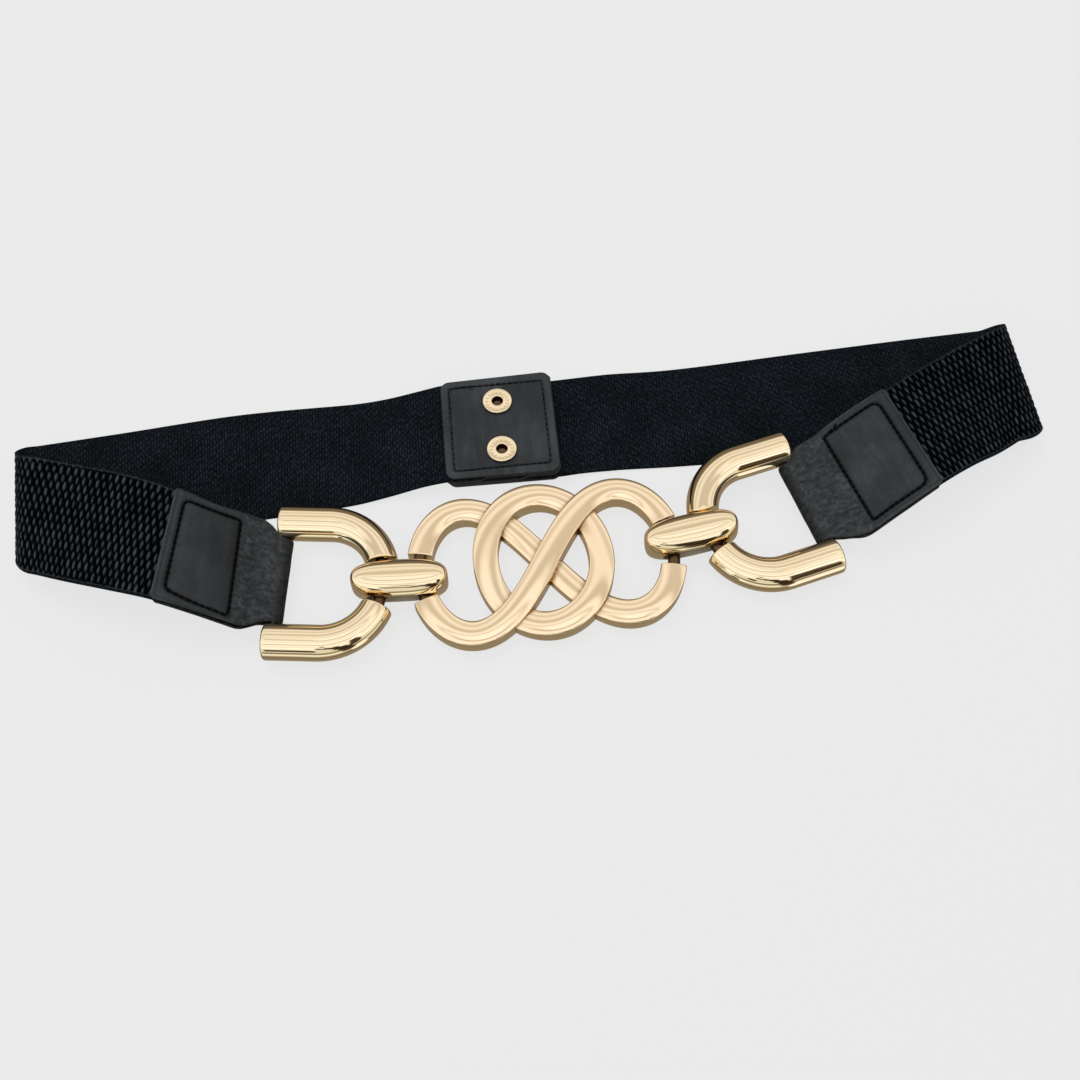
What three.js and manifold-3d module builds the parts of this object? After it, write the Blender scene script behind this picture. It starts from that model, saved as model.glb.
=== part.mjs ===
// A stretch waist belt with a gilt chain-style buckle, lying on a flat surface as a closed loop.
// Units are millimetres and +Z is up. The floor is z = 0.
// Places in plan are given from a point on the floor just behind the knot of the buckle,
// +X to the right and +Y away, and the whole belt is moved at the end so that its box is centred.

import * as THREE from 'three';
import { mergeVertices } from 'three/addons/utils/BufferGeometryUtils.js';
import Module from 'manifold-3d';

const wasm = await Module();
wasm.setup();

// Driving sizes.
const BAND_WIDTH = 39.5;
const BAND_THICK = 1.6;
const LEATHER_THICK = 1.1;
const GAP = 0.3;
const BOX_MIDDLE = { x: -4.28, y: 20.35 };

// Each row is one cross line of a band: its near end x, y, z and its far end x, y, z,
// at the middle of the thickness. The back rows run from the closure out to the fold.
const LEFT_BACK = [
  [-21.8, 20.1, 5.4, -25.5, 59.4, 5.4],
  [-30.2, 19.3, 5.4, -34.0, 58.6, 5.4],
  [-39.0, 18.0, 4.3, -42.8, 56.8, 4.3],
  [-50.5, 15.6, 2.0, -54.2, 55.1, 2.0],
  [-63.0, 14.0, 0.8, -66.5, 53.6, 0.8],
  [-99.1, 9.6, 0.8, -105.3, 48.6, 0.8],
  [-138.7, 2.3, 0.8, -146.1, 41.1, 0.8],
  [-167.4, -3.4, 0.8, -174.9, 36.2, 0.8],
];
const RIGHT_BACK = [
  [-2.3, 22.0, 3.0, -6.0, 61.3, 3.0],
  [6.2, 22.8, 3.0, 2.4, 62.1, 3.0],
  [14.4, 24.8, 1.9, 11.2, 64.1, 1.9],
  [24.0, 26.9, 0.8, 21.2, 66.0, 0.8],
  [48.6, 29.2, 0.8, 45.8, 68.5, 0.8],
  [99.7, 35.5, 0.8, 93.9, 74.6, 0.8],
  [137.9, 42.9, 0.8, 131.0, 81.8, 0.8],
  [167.0, 46.4, 0.8, 161.2, 86.2, 0.8],
];

// The front rows run from the fold towards the buckle: fold, two on the open band, outer end
// of the leather tab, its middle, and the start of its taper. The buckle's bar is the last row.
const LEFT_FRONT = [
  [-161.6, -18.1, 11.0, -168.8, 24.7, 13.0],
  [-150.4, -21.6, 13.0, -152.1, 20.0, 15.5],
  [-136.4, -25.6, 15.5, -135.6, 15.4, 17.5],
  [-120.5, -29.8, 17.0, -117.5, 8.9, 18.0],
  [-107.0, -32.7, 13.0, -105.4, 4.9, 14.0],
  [-94.0, -35.6, 8.0, -94.0, 3.6, 8.5],
];
const RIGHT_FRONT = [
  [161.7, 31.1, 11.0, 156.5, 74.9, 13.0],
  [153.3, 25.9, 13.0, 143.1, 66.5, 15.5],
  [143.1, 19.7, 15.5, 130.5, 57.8, 17.5],
  [130.7, 11.4, 17.0, 115.9, 47.6, 18.0],
  [117.3, 2.8, 13.2, 102.4, 39.8, 14.2],
  [104.6, -5.4, 8.6, 89.6, 31.6, 9.8],
];
const FOLD_STEPS = 10;
const STEPS_PER_ROW = 5;

// Row numbers on the front of a band.
const TAB_OUTER_ROW = 3;
const BAND_END_ROW = 4.75;
const TAPER_ROW = 4.9;
const TAPER_END_ROW = 5.6;
const BAR_ROW = 6;

// The leather tab that wraps the bar.
const TAB_END_WIDTH = 29.6;
const TAB_PINCH = 0.5;
const LOOP_STEPS = 8;

// The horseshoes: a bent tube that thins where the link sits on it, and a bar between its ends.
const TUBE_RADIUS = 5.8;
const TUBE_NECK_RADIUS = 5.3;
const RIM = 0.6;
const SHOE_HALF_SPACING = 21.2;
const SHOE_LENGTH = 36.5;
const SHOE_BEND = 18.5;
const BAR_RADIUS = 1.5;
const BAR_INSET = 3.2;
const BAR_DROP = 1.2;
const SHOES = {
  left: { x: -50.9, y: -19.0, turn: -1.5, tilt: 0 },
  right: { x: 55.8, y: -1.4, turn: 198.5, tilt: -2.9 },
};

// The thin necks of the horseshoes and of the knot, which the links go round.
const NECK_RADIUS = 2.0;
const NECK_HALF = 8.3;
const NECK_BITE = 1.5;

// The links: a bean-shaped body with a slot through it from the near side to the far side.
const LINK = { length: 31, width: 13.2, height: 13, slotLength: 21.6, slotLow: 2.7, slotHigh: 8.3 };
const LINK_BLUNTNESS = 2.7;
const LINK_SQUARENESS = 0.85;
const LINKS = {
  left: { x: -45.1, y: -18.2, turn: 3.0, pitch: 0, lift: 0 },
  right: { x: 50.0, y: -1.7, turn: 12.0, pitch: -5, lift: 0.75 },
};

// The knot: a figure of eight whose one strand passes over an oval ring and the other under it.
const KNOT = { x: 2.3, y: -10.3, turn: 8.8 };
const EIGHT = { halfLength: 41.5, halfWidth: 22.5, lobeRoundness: 0.072 };
const RING = { x: -1.0, y: 1.1, halfLength: 18.8, halfWidth: 22.9 };
const STRAND_WIDTH = 8.3;
const DOME = 1.8;
const STRAND_HEIGHT = 7.5;
const OVER_RISE = 1.5;
const UNDER_DROP = 2.4;
const RING_SWING = 1.0;
const CROSSING_SPAN = 0.95;
const KNOT_NECK_HEIGHT = 5.3;

// The closure at the back: two leather pockets, one on each band end, pressed together by two snaps.
const CLOSURE = { x: -13.9, y: 40.7, turn: 5.5, halfLength: 19.4, width: 39.4 };
const CLOSURE_LEATHER = 0.9;
const POCKET_DEPTH = 11;
const POCKET_SLOPE = 3;
const OUTER_TAB_LOW = 1.0;
const INNER_TAB_TOP = 7.4;

// Radii of the snaps, and what is shared by all of their edges.
const SNAP = { spacing: 19.7, sides: 20, edge: 0.25 };
const STUD = { ring: 5.1, hole: 1.85, post: 2.4, disc: 5.0, knob: 2.0, waist: 1.7 };
const SOCKET = { cap: 6.0, capFoot: 4.4, post: 1.8, rim: 5.0, cup: 2.4 };
const SOCKET_DEPTH = 0.9;
const RING_HEIGHT = 0.7;
const CAP_HEIGHT = 0.7;
const HOLE_BED = 0.6;

// Finishes.
const gilt = new THREE.MeshStandardMaterial({ color: 0xe9c98f, roughness: 0.16, metalness: 1.0 });
const satinGilt = new THREE.MeshStandardMaterial({ color: 0xecd0a0, roughness: 0.28, metalness: 1.0 });
const webbing = new THREE.MeshStandardMaterial({ color: 0x0b0d11, roughness: 0.85, metalness: 0.0 });
const leather = new THREE.MeshStandardMaterial({ color: 0x2b2d2f, roughness: 0.6, metalness: 0.0 });

const radians = THREE.MathUtils.degToRad;
const lerp = THREE.MathUtils.lerp;

// Joins rings of corners, each convex and with the same number of corners, into one closed body.
function loft(rings, endless = false) {
  const sides = rings[0].length;
  const positions = rings.flat().flatMap((corner) => [corner.x, corner.y, corner.z]);
  const index = [];
  const spans = endless ? rings.length : rings.length - 1;
  for (let r = 0; r < spans; r++) {
    const here = r * sides;
    const next = ((r + 1) % rings.length) * sides;
    for (let s = 0; s < sides; s++) {
      const t = (s + 1) % sides;
      index.push(here + s, here + t, next + t, here + s, next + t, next + s);
    }
  }
  if (!endless) {
    const last = (rings.length - 1) * sides;
    for (let s = 1; s < sides - 1; s++) {
      index.push(0, s + 1, s);
      index.push(last, last + s, last + s + 1);
    }
  }
  const geometry = new THREE.BufferGeometry();
  geometry.setAttribute('position', new THREE.Float32BufferAttribute(positions, 3));
  geometry.setIndex(index);
  return volumeOf(geometry) < 0 ? turnedInsideOut(geometry) : geometry;
}

function volumeOf(geometry) {
  const at = geometry.getAttribute('position');
  const index = geometry.getIndex();
  const [a, b, c] = [new THREE.Vector3(), new THREE.Vector3(), new THREE.Vector3()];
  let volume = 0;
  for (let i = 0; i < index.count; i += 3) {
    a.fromBufferAttribute(at, index.getX(i));
    b.fromBufferAttribute(at, index.getX(i + 1));
    c.fromBufferAttribute(at, index.getX(i + 2));
    volume += a.dot(b.cross(c)) / 6;
  }
  return volume;
}

function turnedInsideOut(geometry) {
  const index = Array.from(geometry.getIndex().array);
  for (let i = 0; i < index.length; i += 3) {
    [index[i + 1], index[i + 2]] = [index[i + 2], index[i + 1]];
  }
  geometry.setIndex(index);
  return geometry;
}

// Boolean joins and cuts.
function solidOf(geometry) {
  const bare = geometry.clone();
  bare.deleteAttribute('normal');
  bare.deleteAttribute('uv');
  const merged = mergeVertices(bare);
  return new wasm.Manifold(new wasm.Mesh({
    numProp: 3,
    vertProperties: new Float32Array(merged.getAttribute('position').array),
    triVerts: new Uint32Array(merged.getIndex().array),
  }));
}

function geometryOf(solid) {
  const mesh = solid.getMesh();
  const geometry = new THREE.BufferGeometry();
  geometry.setAttribute('position', new THREE.Float32BufferAttribute(mesh.vertProperties, 3));
  geometry.setIndex(Array.from(mesh.triVerts));
  return geometry;
}

function joined(geometries) {
  return geometryOf(geometries.map(solidOf).reduce((whole, piece) => whole.add(piece)));
}

function cut(geometry, cutters) {
  return geometryOf(cutters.map(solidOf).reduce((rest, cutter) => rest.subtract(cutter), solidOf(geometry)));
}

function part(name, geometry, material) {
  const mesh = new THREE.Mesh(geometry, material);
  mesh.name = name;
  return mesh;
}

// A sheet of even thickness through stations that each have a near and a far point and a normal.
function sheet(stations, thickness) {
  return loft(stations.map(({ near, far, normal }) => {
    const half = normal.clone().multiplyScalar(thickness / 2);
    return [near.clone().sub(half), far.clone().sub(half), far.clone().add(half), near.clone().add(half)];
  }));
}

// The two edges of a run of rows as smooth curves. A place on them is given by its row number.
function edgesOf(rows) {
  const near = new THREE.CatmullRomCurve3(rows.map((row) => new THREE.Vector3(row[0], row[1], row[2])));
  const far = new THREE.CatmullRomCurve3(rows.map((row) => new THREE.Vector3(row[3], row[4], row[5])));
  const last = rows.length - 1;
  return (row) => ({ near: near.getPoint(row / last), far: far.getPoint(row / last) });
}

function sampled(edges, from, to) {
  const steps = Math.max(1, Math.round((to - from) * STEPS_PER_ROW));
  const onFloor = (point) => point.setZ(Math.max(point.z, BAND_THICK / 2));
  return Array.from({ length: steps + 1 }, (_, k) => {
    const { near, far } = edges(lerp(from, to, k / steps));
    return { near: onFloor(near), far: onFloor(far) };
  });
}

// The half turn between the back and the front of a band, round from the lower to the upper layer.
function fold(lower, upper, outward) {
  const round = (low, high, angle) => {
    const middle = low.clone().add(high).multiplyScalar(0.5);
    const reach = (high.z - low.z) / 2;
    return middle
      .addScaledVector(low.clone().sub(high).multiplyScalar(0.5), Math.cos(angle))
      .add(new THREE.Vector3(outward * reach * Math.sin(angle), 0, 0));
  };
  return Array.from({ length: FOLD_STEPS - 1 }, (_, k) => {
    const angle = Math.PI * (k + 1) / FOLD_STEPS;
    return { near: round(lower.near, upper.near, angle), far: round(lower.far, upper.far, angle) };
  });
}

// Gives each station the normal of the surface through its neighbours.
function withNormals(stations) {
  const middle = ({ near, far }) => near.clone().add(far).multiplyScalar(0.5);
  return stations.map((station, i) => {
    const before = middle(stations[Math.max(0, i - 1)]);
    const after = middle(stations[Math.min(stations.length - 1, i + 1)]);
    const along = after.sub(before);
    const across = station.far.clone().sub(station.near);
    return { ...station, normal: along.cross(across).normalize() };
  });
}

// A band: on the floor from the closure to the fold, round the fold, and back over itself to the buckle.
function band(backRows, frontRows, outward) {
  const back = sampled(edgesOf(backRows), 0, backRows.length - 1);
  const front = sampled(edgesOf(frontRows), 0, BAND_END_ROW);
  const turn = fold(back[back.length - 1], front[0], outward);
  return sheet(withNormals([...back, ...turn, ...front]), BAND_THICK);
}

// A leather tab: its upper layer runs in to the bar, goes round it, and runs back out underneath.
function buckleTab(frontRows) {
  const stations = withNormals(sampled(edgesOf(frontRows), TAB_OUTER_ROW, BAR_ROW));
  const rows = stations.map((_, i) => lerp(TAB_OUTER_ROW, BAR_ROW, i / (stations.length - 1)));
  const onBand = BAND_THICK / 2 + GAP + LEATHER_THICK / 2;
  const onBar = BAR_RADIUS + GAP + LEATHER_THICK / 2;
  const clear = stations.map(({ near, far, normal }, i) => {
    const taper = THREE.MathUtils.clamp((rows[i] - TAPER_ROW) / (TAPER_END_ROW - TAPER_ROW), 0, 1);
    const share = lerp(1, TAB_END_WIDTH / BAND_WIDTH, taper);
    const middle = near.clone().add(far).multiplyScalar(0.5);
    const up = normal.z < 0 ? normal.clone().negate() : normal.clone();
    const free = THREE.MathUtils.clamp((rows[i] - TAPER_ROW) / (BAR_ROW - TAPER_ROW), 0, 1);
    return {
      near: middle.clone().lerp(near, share),
      far: middle.clone().lerp(far, share),
      up,
      lift: lerp(onBand, onBar, free ** 2) - TAB_PINCH * Math.sin(Math.PI * free),
    };
  });
  const layer = (side) => clear.map(({ near, far, up, lift }) => ({
    near: near.clone().addScaledVector(up, side * lift),
    far: far.clone().addScaledVector(up, side * lift),
    normal: up.clone().multiplyScalar(side),
  }));
  const end = clear[clear.length - 1];
  const inner = clear[clear.length - 2];
  const middleOf = ({ near, far }) => near.clone().add(far).multiplyScalar(0.5);
  const barWay = end.far.clone().sub(end.near).normalize();
  const ahead = middleOf(end).sub(middleOf(inner));
  ahead.addScaledVector(barWay, -ahead.dot(barWay));
  ahead.addScaledVector(end.up, -ahead.dot(end.up)).normalize();
  const loop = Array.from({ length: LOOP_STEPS - 1 }, (_, k) => {
    const angle = Math.PI * (k + 1) / LOOP_STEPS;
    const normal = end.up.clone().multiplyScalar(Math.cos(angle)).addScaledVector(ahead, Math.sin(angle));
    return {
      near: end.near.clone().addScaledVector(normal, onBar),
      far: end.far.clone().addScaledVector(normal, onBar),
      normal,
    };
  });
  return sheet([...layer(1), ...loop, ...layer(-1).reverse()], LEATHER_THICK);
}

// A round rod through points, with a radius for each, whose rings stand across the rod.
function rod(points, radii, sides = 16) {
  return loft(points.map((point, i) => {
    const before = points[Math.max(0, i - 1)];
    const after = points[Math.min(points.length - 1, i + 1)];
    const along = after.clone().sub(before).normalize();
    const side = new THREE.Vector3(0, 0, 1).cross(along).normalize();
    const up = along.clone().cross(side);
    return Array.from({ length: sides }, (_, k) => {
      const angle = 2 * Math.PI * k / sides;
      return point.clone()
        .addScaledVector(side, radii[i] * Math.cos(angle))
        .addScaledVector(up, radii[i] * Math.sin(angle));
    });
  }));
}

// The middle line of one half of a horseshoe, by angle round its bend. Its apex is at the origin.
function shoeBend(angle) {
  return new THREE.Vector3(
    SHOE_BEND * (Math.cos(angle) - 1),
    SHOE_HALF_SPACING - SHOE_BEND + SHOE_BEND * Math.sin(angle),
    TUBE_RADIUS,
  );
}

function shoeLeg(side) {
  const cutAngle = Math.asin((NECK_HALF - SHOE_HALF_SPACING + SHOE_BEND) / SHOE_BEND);
  const bendSteps = 10;
  const points = [new THREE.Vector3(-SHOE_LENGTH, SHOE_HALF_SPACING, TUBE_RADIUS)];
  const radii = [TUBE_RADIUS - RIM];
  points.push(new THREE.Vector3(-SHOE_LENGTH + RIM, SHOE_HALF_SPACING, TUBE_RADIUS));
  radii.push(TUBE_RADIUS);
  for (let k = 0; k <= bendSteps; k++) {
    const share = k / bendSteps;
    points.push(shoeBend(lerp(Math.PI / 2, cutAngle, share)));
    radii.push(lerp(TUBE_RADIUS, TUBE_NECK_RADIUS, share));
  }
  return rod(points.map((point) => point.setY(side * point.y)), radii);
}

function shoeNeck() {
  const reach = NECK_HALF + NECK_BITE;
  const points = [];
  const steps = 8;
  for (let k = 0; k <= steps; k++) {
    const y = lerp(-reach, reach, k / steps);
    const onBend = Math.max(0, Math.abs(y) - (SHOE_HALF_SPACING - SHOE_BEND));
    const x = Math.sqrt(SHOE_BEND ** 2 - onBend ** 2) - SHOE_BEND;
    points.push(new THREE.Vector3(x, y, TUBE_RADIUS));
  }
  return rod(points, points.map(() => NECK_RADIUS));
}

function shoeBar() {
  const sides = 16;
  const bar = new THREE.CylinderGeometry(BAR_RADIUS, BAR_RADIUS, 2 * SHOE_HALF_SPACING, sides);
  bar.translate(BAR_INSET - SHOE_LENGTH, 0, TUBE_RADIUS - BAR_DROP);
  return bar;
}

function horseshoe(name, { x, y, turn, tilt }) {
  const mesh = part(name, joined([shoeLeg(1), shoeLeg(-1), shoeNeck(), shoeBar()]), gilt);
  // The tilt turns it about the leg that stays on the floor.
  const lean = new THREE.Group();
  mesh.position.set(0, -SHOE_HALF_SPACING, -TUBE_RADIUS);
  lean.position.set(0, SHOE_HALF_SPACING, TUBE_RADIUS);
  lean.rotation.x = radians(tilt);
  lean.add(mesh);
  const shoe = new THREE.Group();
  shoe.position.set(x, y, 0);
  shoe.rotation.z = radians(turn);
  shoe.add(lean);
  return shoe;
}

// The cross line of a band that lies along the middle of a horseshoe's bar.
function barRow(shoe) {
  shoe.updateMatrixWorld(true);
  const [mesh] = shoe.getObjectsByProperty('isMesh', true);
  const ends = [-1, 1].map((side) => mesh.localToWorld(
    new THREE.Vector3(BAR_INSET - SHOE_LENGTH, side * BAND_WIDTH / 2, TUBE_RADIUS - BAR_DROP),
  ));
  const [near, far] = ends.sort((a, b) => a.y - b.y);
  return [near.x, near.y, near.z, far.x, far.y, far.z];
}

// How thick a link is at a share of its half length, as a share of its full thickness.
function linkThickness(share) {
  return (1 - Math.abs(share) ** LINK_BLUNTNESS) ** (1 / LINK_BLUNTNESS);
}

function squared(value) {
  return Math.sign(value) * Math.abs(value) ** LINK_SQUARENESS;
}

function linkBody() {
  const sides = 20;
  const steps = 16;
  const endShare = 0.998;
  const rings = [];
  for (let k = 0; k <= steps; k++) {
    const share = endShare * Math.sin(Math.PI * (k / steps - 0.5));
    const size = linkThickness(share);
    rings.push(Array.from({ length: sides }, (_, s) => {
      const angle = 2 * Math.PI * s / sides;
      return new THREE.Vector3(
        LINK.length / 2 * share,
        LINK.width / 2 * size * squared(Math.cos(angle)),
        LINK.height / 2 * (1 + size * squared(Math.sin(angle))),
      );
    }));
  }
  return loft(rings);
}

function linkSlot() {
  const radius = (LINK.slotHigh - LINK.slotLow) / 2;
  const half = LINK.slotLength / 2 - radius;
  const outline = new THREE.Shape();
  outline.moveTo(-half, -radius);
  outline.lineTo(half, -radius);
  outline.absarc(half, 0, radius, -Math.PI / 2, Math.PI / 2, false);
  outline.lineTo(-half, radius);
  outline.absarc(-half, 0, radius, Math.PI / 2, 1.5 * Math.PI, false);
  const depth = 2 * LINK.width;
  const slot = new THREE.ExtrudeGeometry(outline, { depth, bevelEnabled: false, curveSegments: 6 });
  slot.rotateX(Math.PI / 2);
  slot.translate(0, depth / 2, (LINK.slotHigh + LINK.slotLow) / 2);
  return slot;
}

function link(name, { x, y, turn, pitch, lift }) {
  const mesh = part(name, cut(linkBody(), [linkSlot()]), gilt);
  mesh.position.set(x, y, lift);
  mesh.rotation.set(0, radians(pitch), radians(turn), 'ZYX');
  return mesh;
}

// A cast strand with a flat back and a domed face, through points in plan, with a height for each.
function strand(points, heights, endless = false) {
  const count = points.length;
  const domeSteps = 6;
  return loft(points.map((point, i) => {
    const before = points[endless ? (i + count - 1) % count : Math.max(0, i - 1)];
    const after = points[endless ? (i + 1) % count : Math.min(count - 1, i + 1)];
    const along = after.clone().sub(before).normalize();
    const side = new THREE.Vector3(-along.y, along.x, 0);
    const half = STRAND_WIDTH / 2;
    const shoulder = heights[i] - DOME;
    const ring = [
      point.clone().addScaledVector(side, half),
      point.clone().addScaledVector(side, -half),
    ];
    for (let k = 0; k <= domeSteps; k++) {
      const angle = Math.PI * k / domeSteps;
      const corner = point.clone().addScaledVector(side, -half * Math.cos(angle));
      ring.push(corner.setZ(shoulder + DOME * Math.sin(angle)));
    }
    return ring;
  }), endless);
}

function eightPoint(angle) {
  const { halfLength, halfWidth, lobeRoundness } = EIGHT;
  return new THREE.Vector3(
    halfLength * (Math.cos(angle) + lobeRoundness * Math.cos(3 * angle)) / (1 + lobeRoundness),
    halfWidth * Math.sin(2 * angle),
    0,
  );
}

// One where the strands cross in the middle of the knot, falling smoothly to zero at the lobes.
function crossing(angle) {
  const share = Math.min(1, Math.abs(angle - Math.PI / 2) / CROSSING_SPAN);
  return Math.cos(share * Math.PI / 2) ** 2;
}

// Half of the figure of eight, from one neck to the other. A rise below zero takes it underneath.
function eightStrand(start, rise) {
  const steps = 36;
  const neckAngle = Math.asin(NECK_HALF / EIGHT.halfWidth) / 2;
  const points = [];
  const heights = [];
  for (let k = 0; k <= steps; k++) {
    const angle = lerp(neckAngle, Math.PI - neckAngle, k / steps);
    points.push(eightPoint(start + angle));
    heights.push(STRAND_HEIGHT + rise * crossing(angle));
  }
  return strand(points, heights);
}

// The oval ring dips under one strand of the eight and rises over the other.
function ovalRing() {
  const steps = 40;
  const points = [];
  const heights = [];
  for (let k = 0; k < steps; k++) {
    const angle = 2 * Math.PI * k / steps;
    points.push(new THREE.Vector3(
      RING.x + RING.halfLength * Math.cos(angle),
      RING.y + RING.halfWidth * Math.sin(angle),
      0,
    ));
    heights.push(STRAND_HEIGHT - RING_SWING * Math.sin(2 * angle));
  }
  return strand(points, heights, true);
}

function knotNeck(side) {
  const reach = Math.asin((NECK_HALF + NECK_BITE) / EIGHT.halfWidth) / 2;
  const steps = 8;
  const points = [];
  for (let k = 0; k <= steps; k++) {
    const angle = lerp(-reach, reach, k / steps);
    points.push(eightPoint(side > 0 ? angle : Math.PI - angle).setZ(KNOT_NECK_HEIGHT));
  }
  return rod(points, points.map(() => NECK_RADIUS));
}

function knot() {
  const over = eightStrand(0, OVER_RISE);
  const under = eightStrand(Math.PI, -UNDER_DROP);
  const mesh = part('knot', joined([over, under, ovalRing(), knotNeck(1), knotNeck(-1)]), satinGilt);
  mesh.position.set(KNOT.x, KNOT.y, 0);
  mesh.rotation.z = radians(KNOT.turn);
  return mesh;
}

// Where the middle of a closure layer lies: level by the snaps, and apart by a band in its pocket.
function pocketShare(u) {
  const full = CLOSURE.halfLength - POCKET_DEPTH;
  return THREE.MathUtils.smoothstep(u, full - POCKET_SLOPE, full);
}

// A closure tab in its own frame, with its pocket towards +X and its folded end towards -X.
// The plain layer is flat, and the other one steps away from it to leave room for the band.
function closureTab(plain, step) {
  const toOther = CLOSURE_LEATHER + GAP;
  const extra = BAND_THICK + GAP;
  const layerSteps = 14;
  const other = (u) => plain + step * (toOther + extra * pocketShare(u));
  const station = (u, z, normal) => ({
    near: new THREE.Vector3(u, -CLOSURE.width / 2, z),
    far: new THREE.Vector3(u, CLOSURE.width / 2, z),
    normal,
  });
  const away = new THREE.Vector3(0, 0, -step);
  const turnRadius = toOther / 2;
  const endAt = -CLOSURE.halfLength + turnRadius + CLOSURE_LEATHER / 2;
  const stations = [];
  for (let k = 0; k <= layerSteps; k++) {
    stations.push(station(lerp(CLOSURE.halfLength, endAt, k / layerSteps), plain, away.clone()));
  }
  for (let k = 1; k < LOOP_STEPS; k++) {
    const angle = Math.PI * k / LOOP_STEPS;
    const normal = new THREE.Vector3(-Math.sin(angle), 0, -step * Math.cos(angle));
    const z = plain + step * turnRadius * (1 - Math.cos(angle));
    stations.push(station(endAt - turnRadius * Math.sin(angle), z, normal));
  }
  for (let k = 0; k <= layerSteps; k++) {
    const u = lerp(endAt, CLOSURE.halfLength, k / layerSteps);
    stations.push(station(u, other(u), away.clone().negate()));
  }
  return sheet(stations, CLOSURE_LEATHER);
}

function snapHoles(radius) {
  return [-1, 1].map((side) => {
    const hole = new THREE.CylinderGeometry(radius, radius, 4 * INNER_TAB_TOP, SNAP.sides);
    hole.rotateX(Math.PI / 2);
    hole.translate(0, side * SNAP.spacing / 2, 0);
    return hole;
  });
}

// A round piece turned about an upright axis, from a closed list of radius and height.
function turned(profile) {
  const points = profile.map(([radius, height]) => new THREE.Vector2(radius, height));
  const geometry = new THREE.LatheGeometry(points, SNAP.sides);
  geometry.rotateX(Math.PI / 2);
  return geometryOf(solidOf(geometry));
}

// Heights in the snaps, from the stack of leather that they hold.
const OUTER_TAB_TOP = OUTER_TAB_LOW + 2 * CLOSURE_LEATHER + GAP;
const INNER_TAB_LOW = INNER_TAB_TOP - 2 * CLOSURE_LEATHER - GAP;
const SOCKET_FLOOR = OUTER_TAB_TOP + GAP;
const CUP_FLOOR = SOCKET_FLOOR + GAP;
const KNOB_LOW = CUP_FLOOR + GAP;
const SOCKET_RIM = SOCKET_FLOOR + SOCKET_DEPTH;
const DISC_LOW = SOCKET_RIM + GAP;
const DISC_TOP = INNER_TAB_LOW - GAP;
const RING_LOW = INNER_TAB_TOP + GAP;
const RING_TOP = RING_LOW + RING_HEIGHT;
const HOLE_FLOOR = DISC_LOW + HOLE_BED;

// The upper half: a ring on the face of the leather, a hollow post through it, and the knob below.
function snapStud() {
  return turned([
    [0, KNOB_LOW],
    [STUD.waist, KNOB_LOW],
    [STUD.knob, KNOB_LOW + SNAP.edge],
    [STUD.knob, DISC_LOW - SNAP.edge],
    [STUD.waist, DISC_LOW],
    [STUD.disc, DISC_LOW],
    [STUD.disc, DISC_TOP],
    [STUD.post, DISC_TOP],
    [STUD.post, RING_LOW],
    [STUD.ring, RING_LOW],
    [STUD.ring, RING_TOP - SNAP.edge],
    [STUD.ring - SNAP.edge, RING_TOP],
    [STUD.hole + SNAP.edge, RING_TOP],
    [STUD.hole, RING_TOP - SNAP.edge],
    [STUD.hole, HOLE_FLOOR],
    [0, HOLE_FLOOR],
  ]);
}

// The lower half: a domed cap on the floor, a post through the leather, and the cup for the knob.
function snapSocket() {
  return turned([
    [0, 0],
    [SOCKET.capFoot, 0],
    [SOCKET.cap, CAP_HEIGHT - SNAP.edge],
    [SOCKET.cap, CAP_HEIGHT],
    [SOCKET.post, CAP_HEIGHT],
    [SOCKET.post, SOCKET_FLOOR],
    [SOCKET.rim, SOCKET_FLOOR],
    [SOCKET.rim, SOCKET_RIM - SNAP.edge],
    [SOCKET.rim - SNAP.edge, SOCKET_RIM],
    [SOCKET.cup, SOCKET_RIM],
    [SOCKET.cup, CUP_FLOOR],
    [0, CUP_FLOOR],
  ]);
}

function closure() {
  const group = new THREE.Group();
  group.position.set(CLOSURE.x, CLOSURE.y, 0);
  group.rotation.z = radians(CLOSURE.turn);
  const outer = closureTab(OUTER_TAB_LOW + CLOSURE_LEATHER / 2, 1);
  group.add(part('closure_tab_outer', cut(outer, snapHoles(SOCKET.post + GAP)), leather));
  const inner = closureTab(INNER_TAB_TOP - CLOSURE_LEATHER / 2, -1);
  inner.rotateZ(Math.PI);
  group.add(part('closure_tab_inner', cut(inner, snapHoles(STUD.post + GAP)), leather));
  for (const [name, side] of [['near', -1], ['far', 1]]) {
    const stud = part(`snap_stud_${name}`, snapStud(), gilt);
    const socket = part(`snap_socket_${name}`, snapSocket(), gilt);
    stud.position.y = side * SNAP.spacing / 2;
    socket.position.y = side * SNAP.spacing / 2;
    group.add(stud, socket);
  }
  return group;
}

const belt = new THREE.Group();
const leftShoe = horseshoe('horseshoe_left', SHOES.left);
const rightShoe = horseshoe('horseshoe_right', SHOES.right);
const leftFront = [...LEFT_FRONT, barRow(leftShoe)];
const rightFront = [...RIGHT_FRONT, barRow(rightShoe)];
belt.add(part('elastic_left', band(LEFT_BACK, leftFront, -1), webbing));
belt.add(part('elastic_right', band(RIGHT_BACK, rightFront, 1), webbing));
belt.add(part('leather_tab_left', buckleTab(leftFront), leather));
belt.add(part('leather_tab_right', buckleTab(rightFront), leather));
belt.add(leftShoe, rightShoe);
belt.add(link('link_left', LINKS.left));
belt.add(link('link_right', LINKS.right));
belt.add(knot());
belt.add(closure());
belt.position.set(-BOX_MIDDLE.x, -BOX_MIDDLE.y, 0);

export default belt;
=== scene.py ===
# The looks of a stretch waist belt with a gilt chain-style buckle, lying as a closed loop.
# Tables and sizes are in millimetres in the plan of the belt, as its model has them, and
# meshes are made in metres, round the middle of the model's box.

from math import asin, cos, pi, radians, sin

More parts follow.
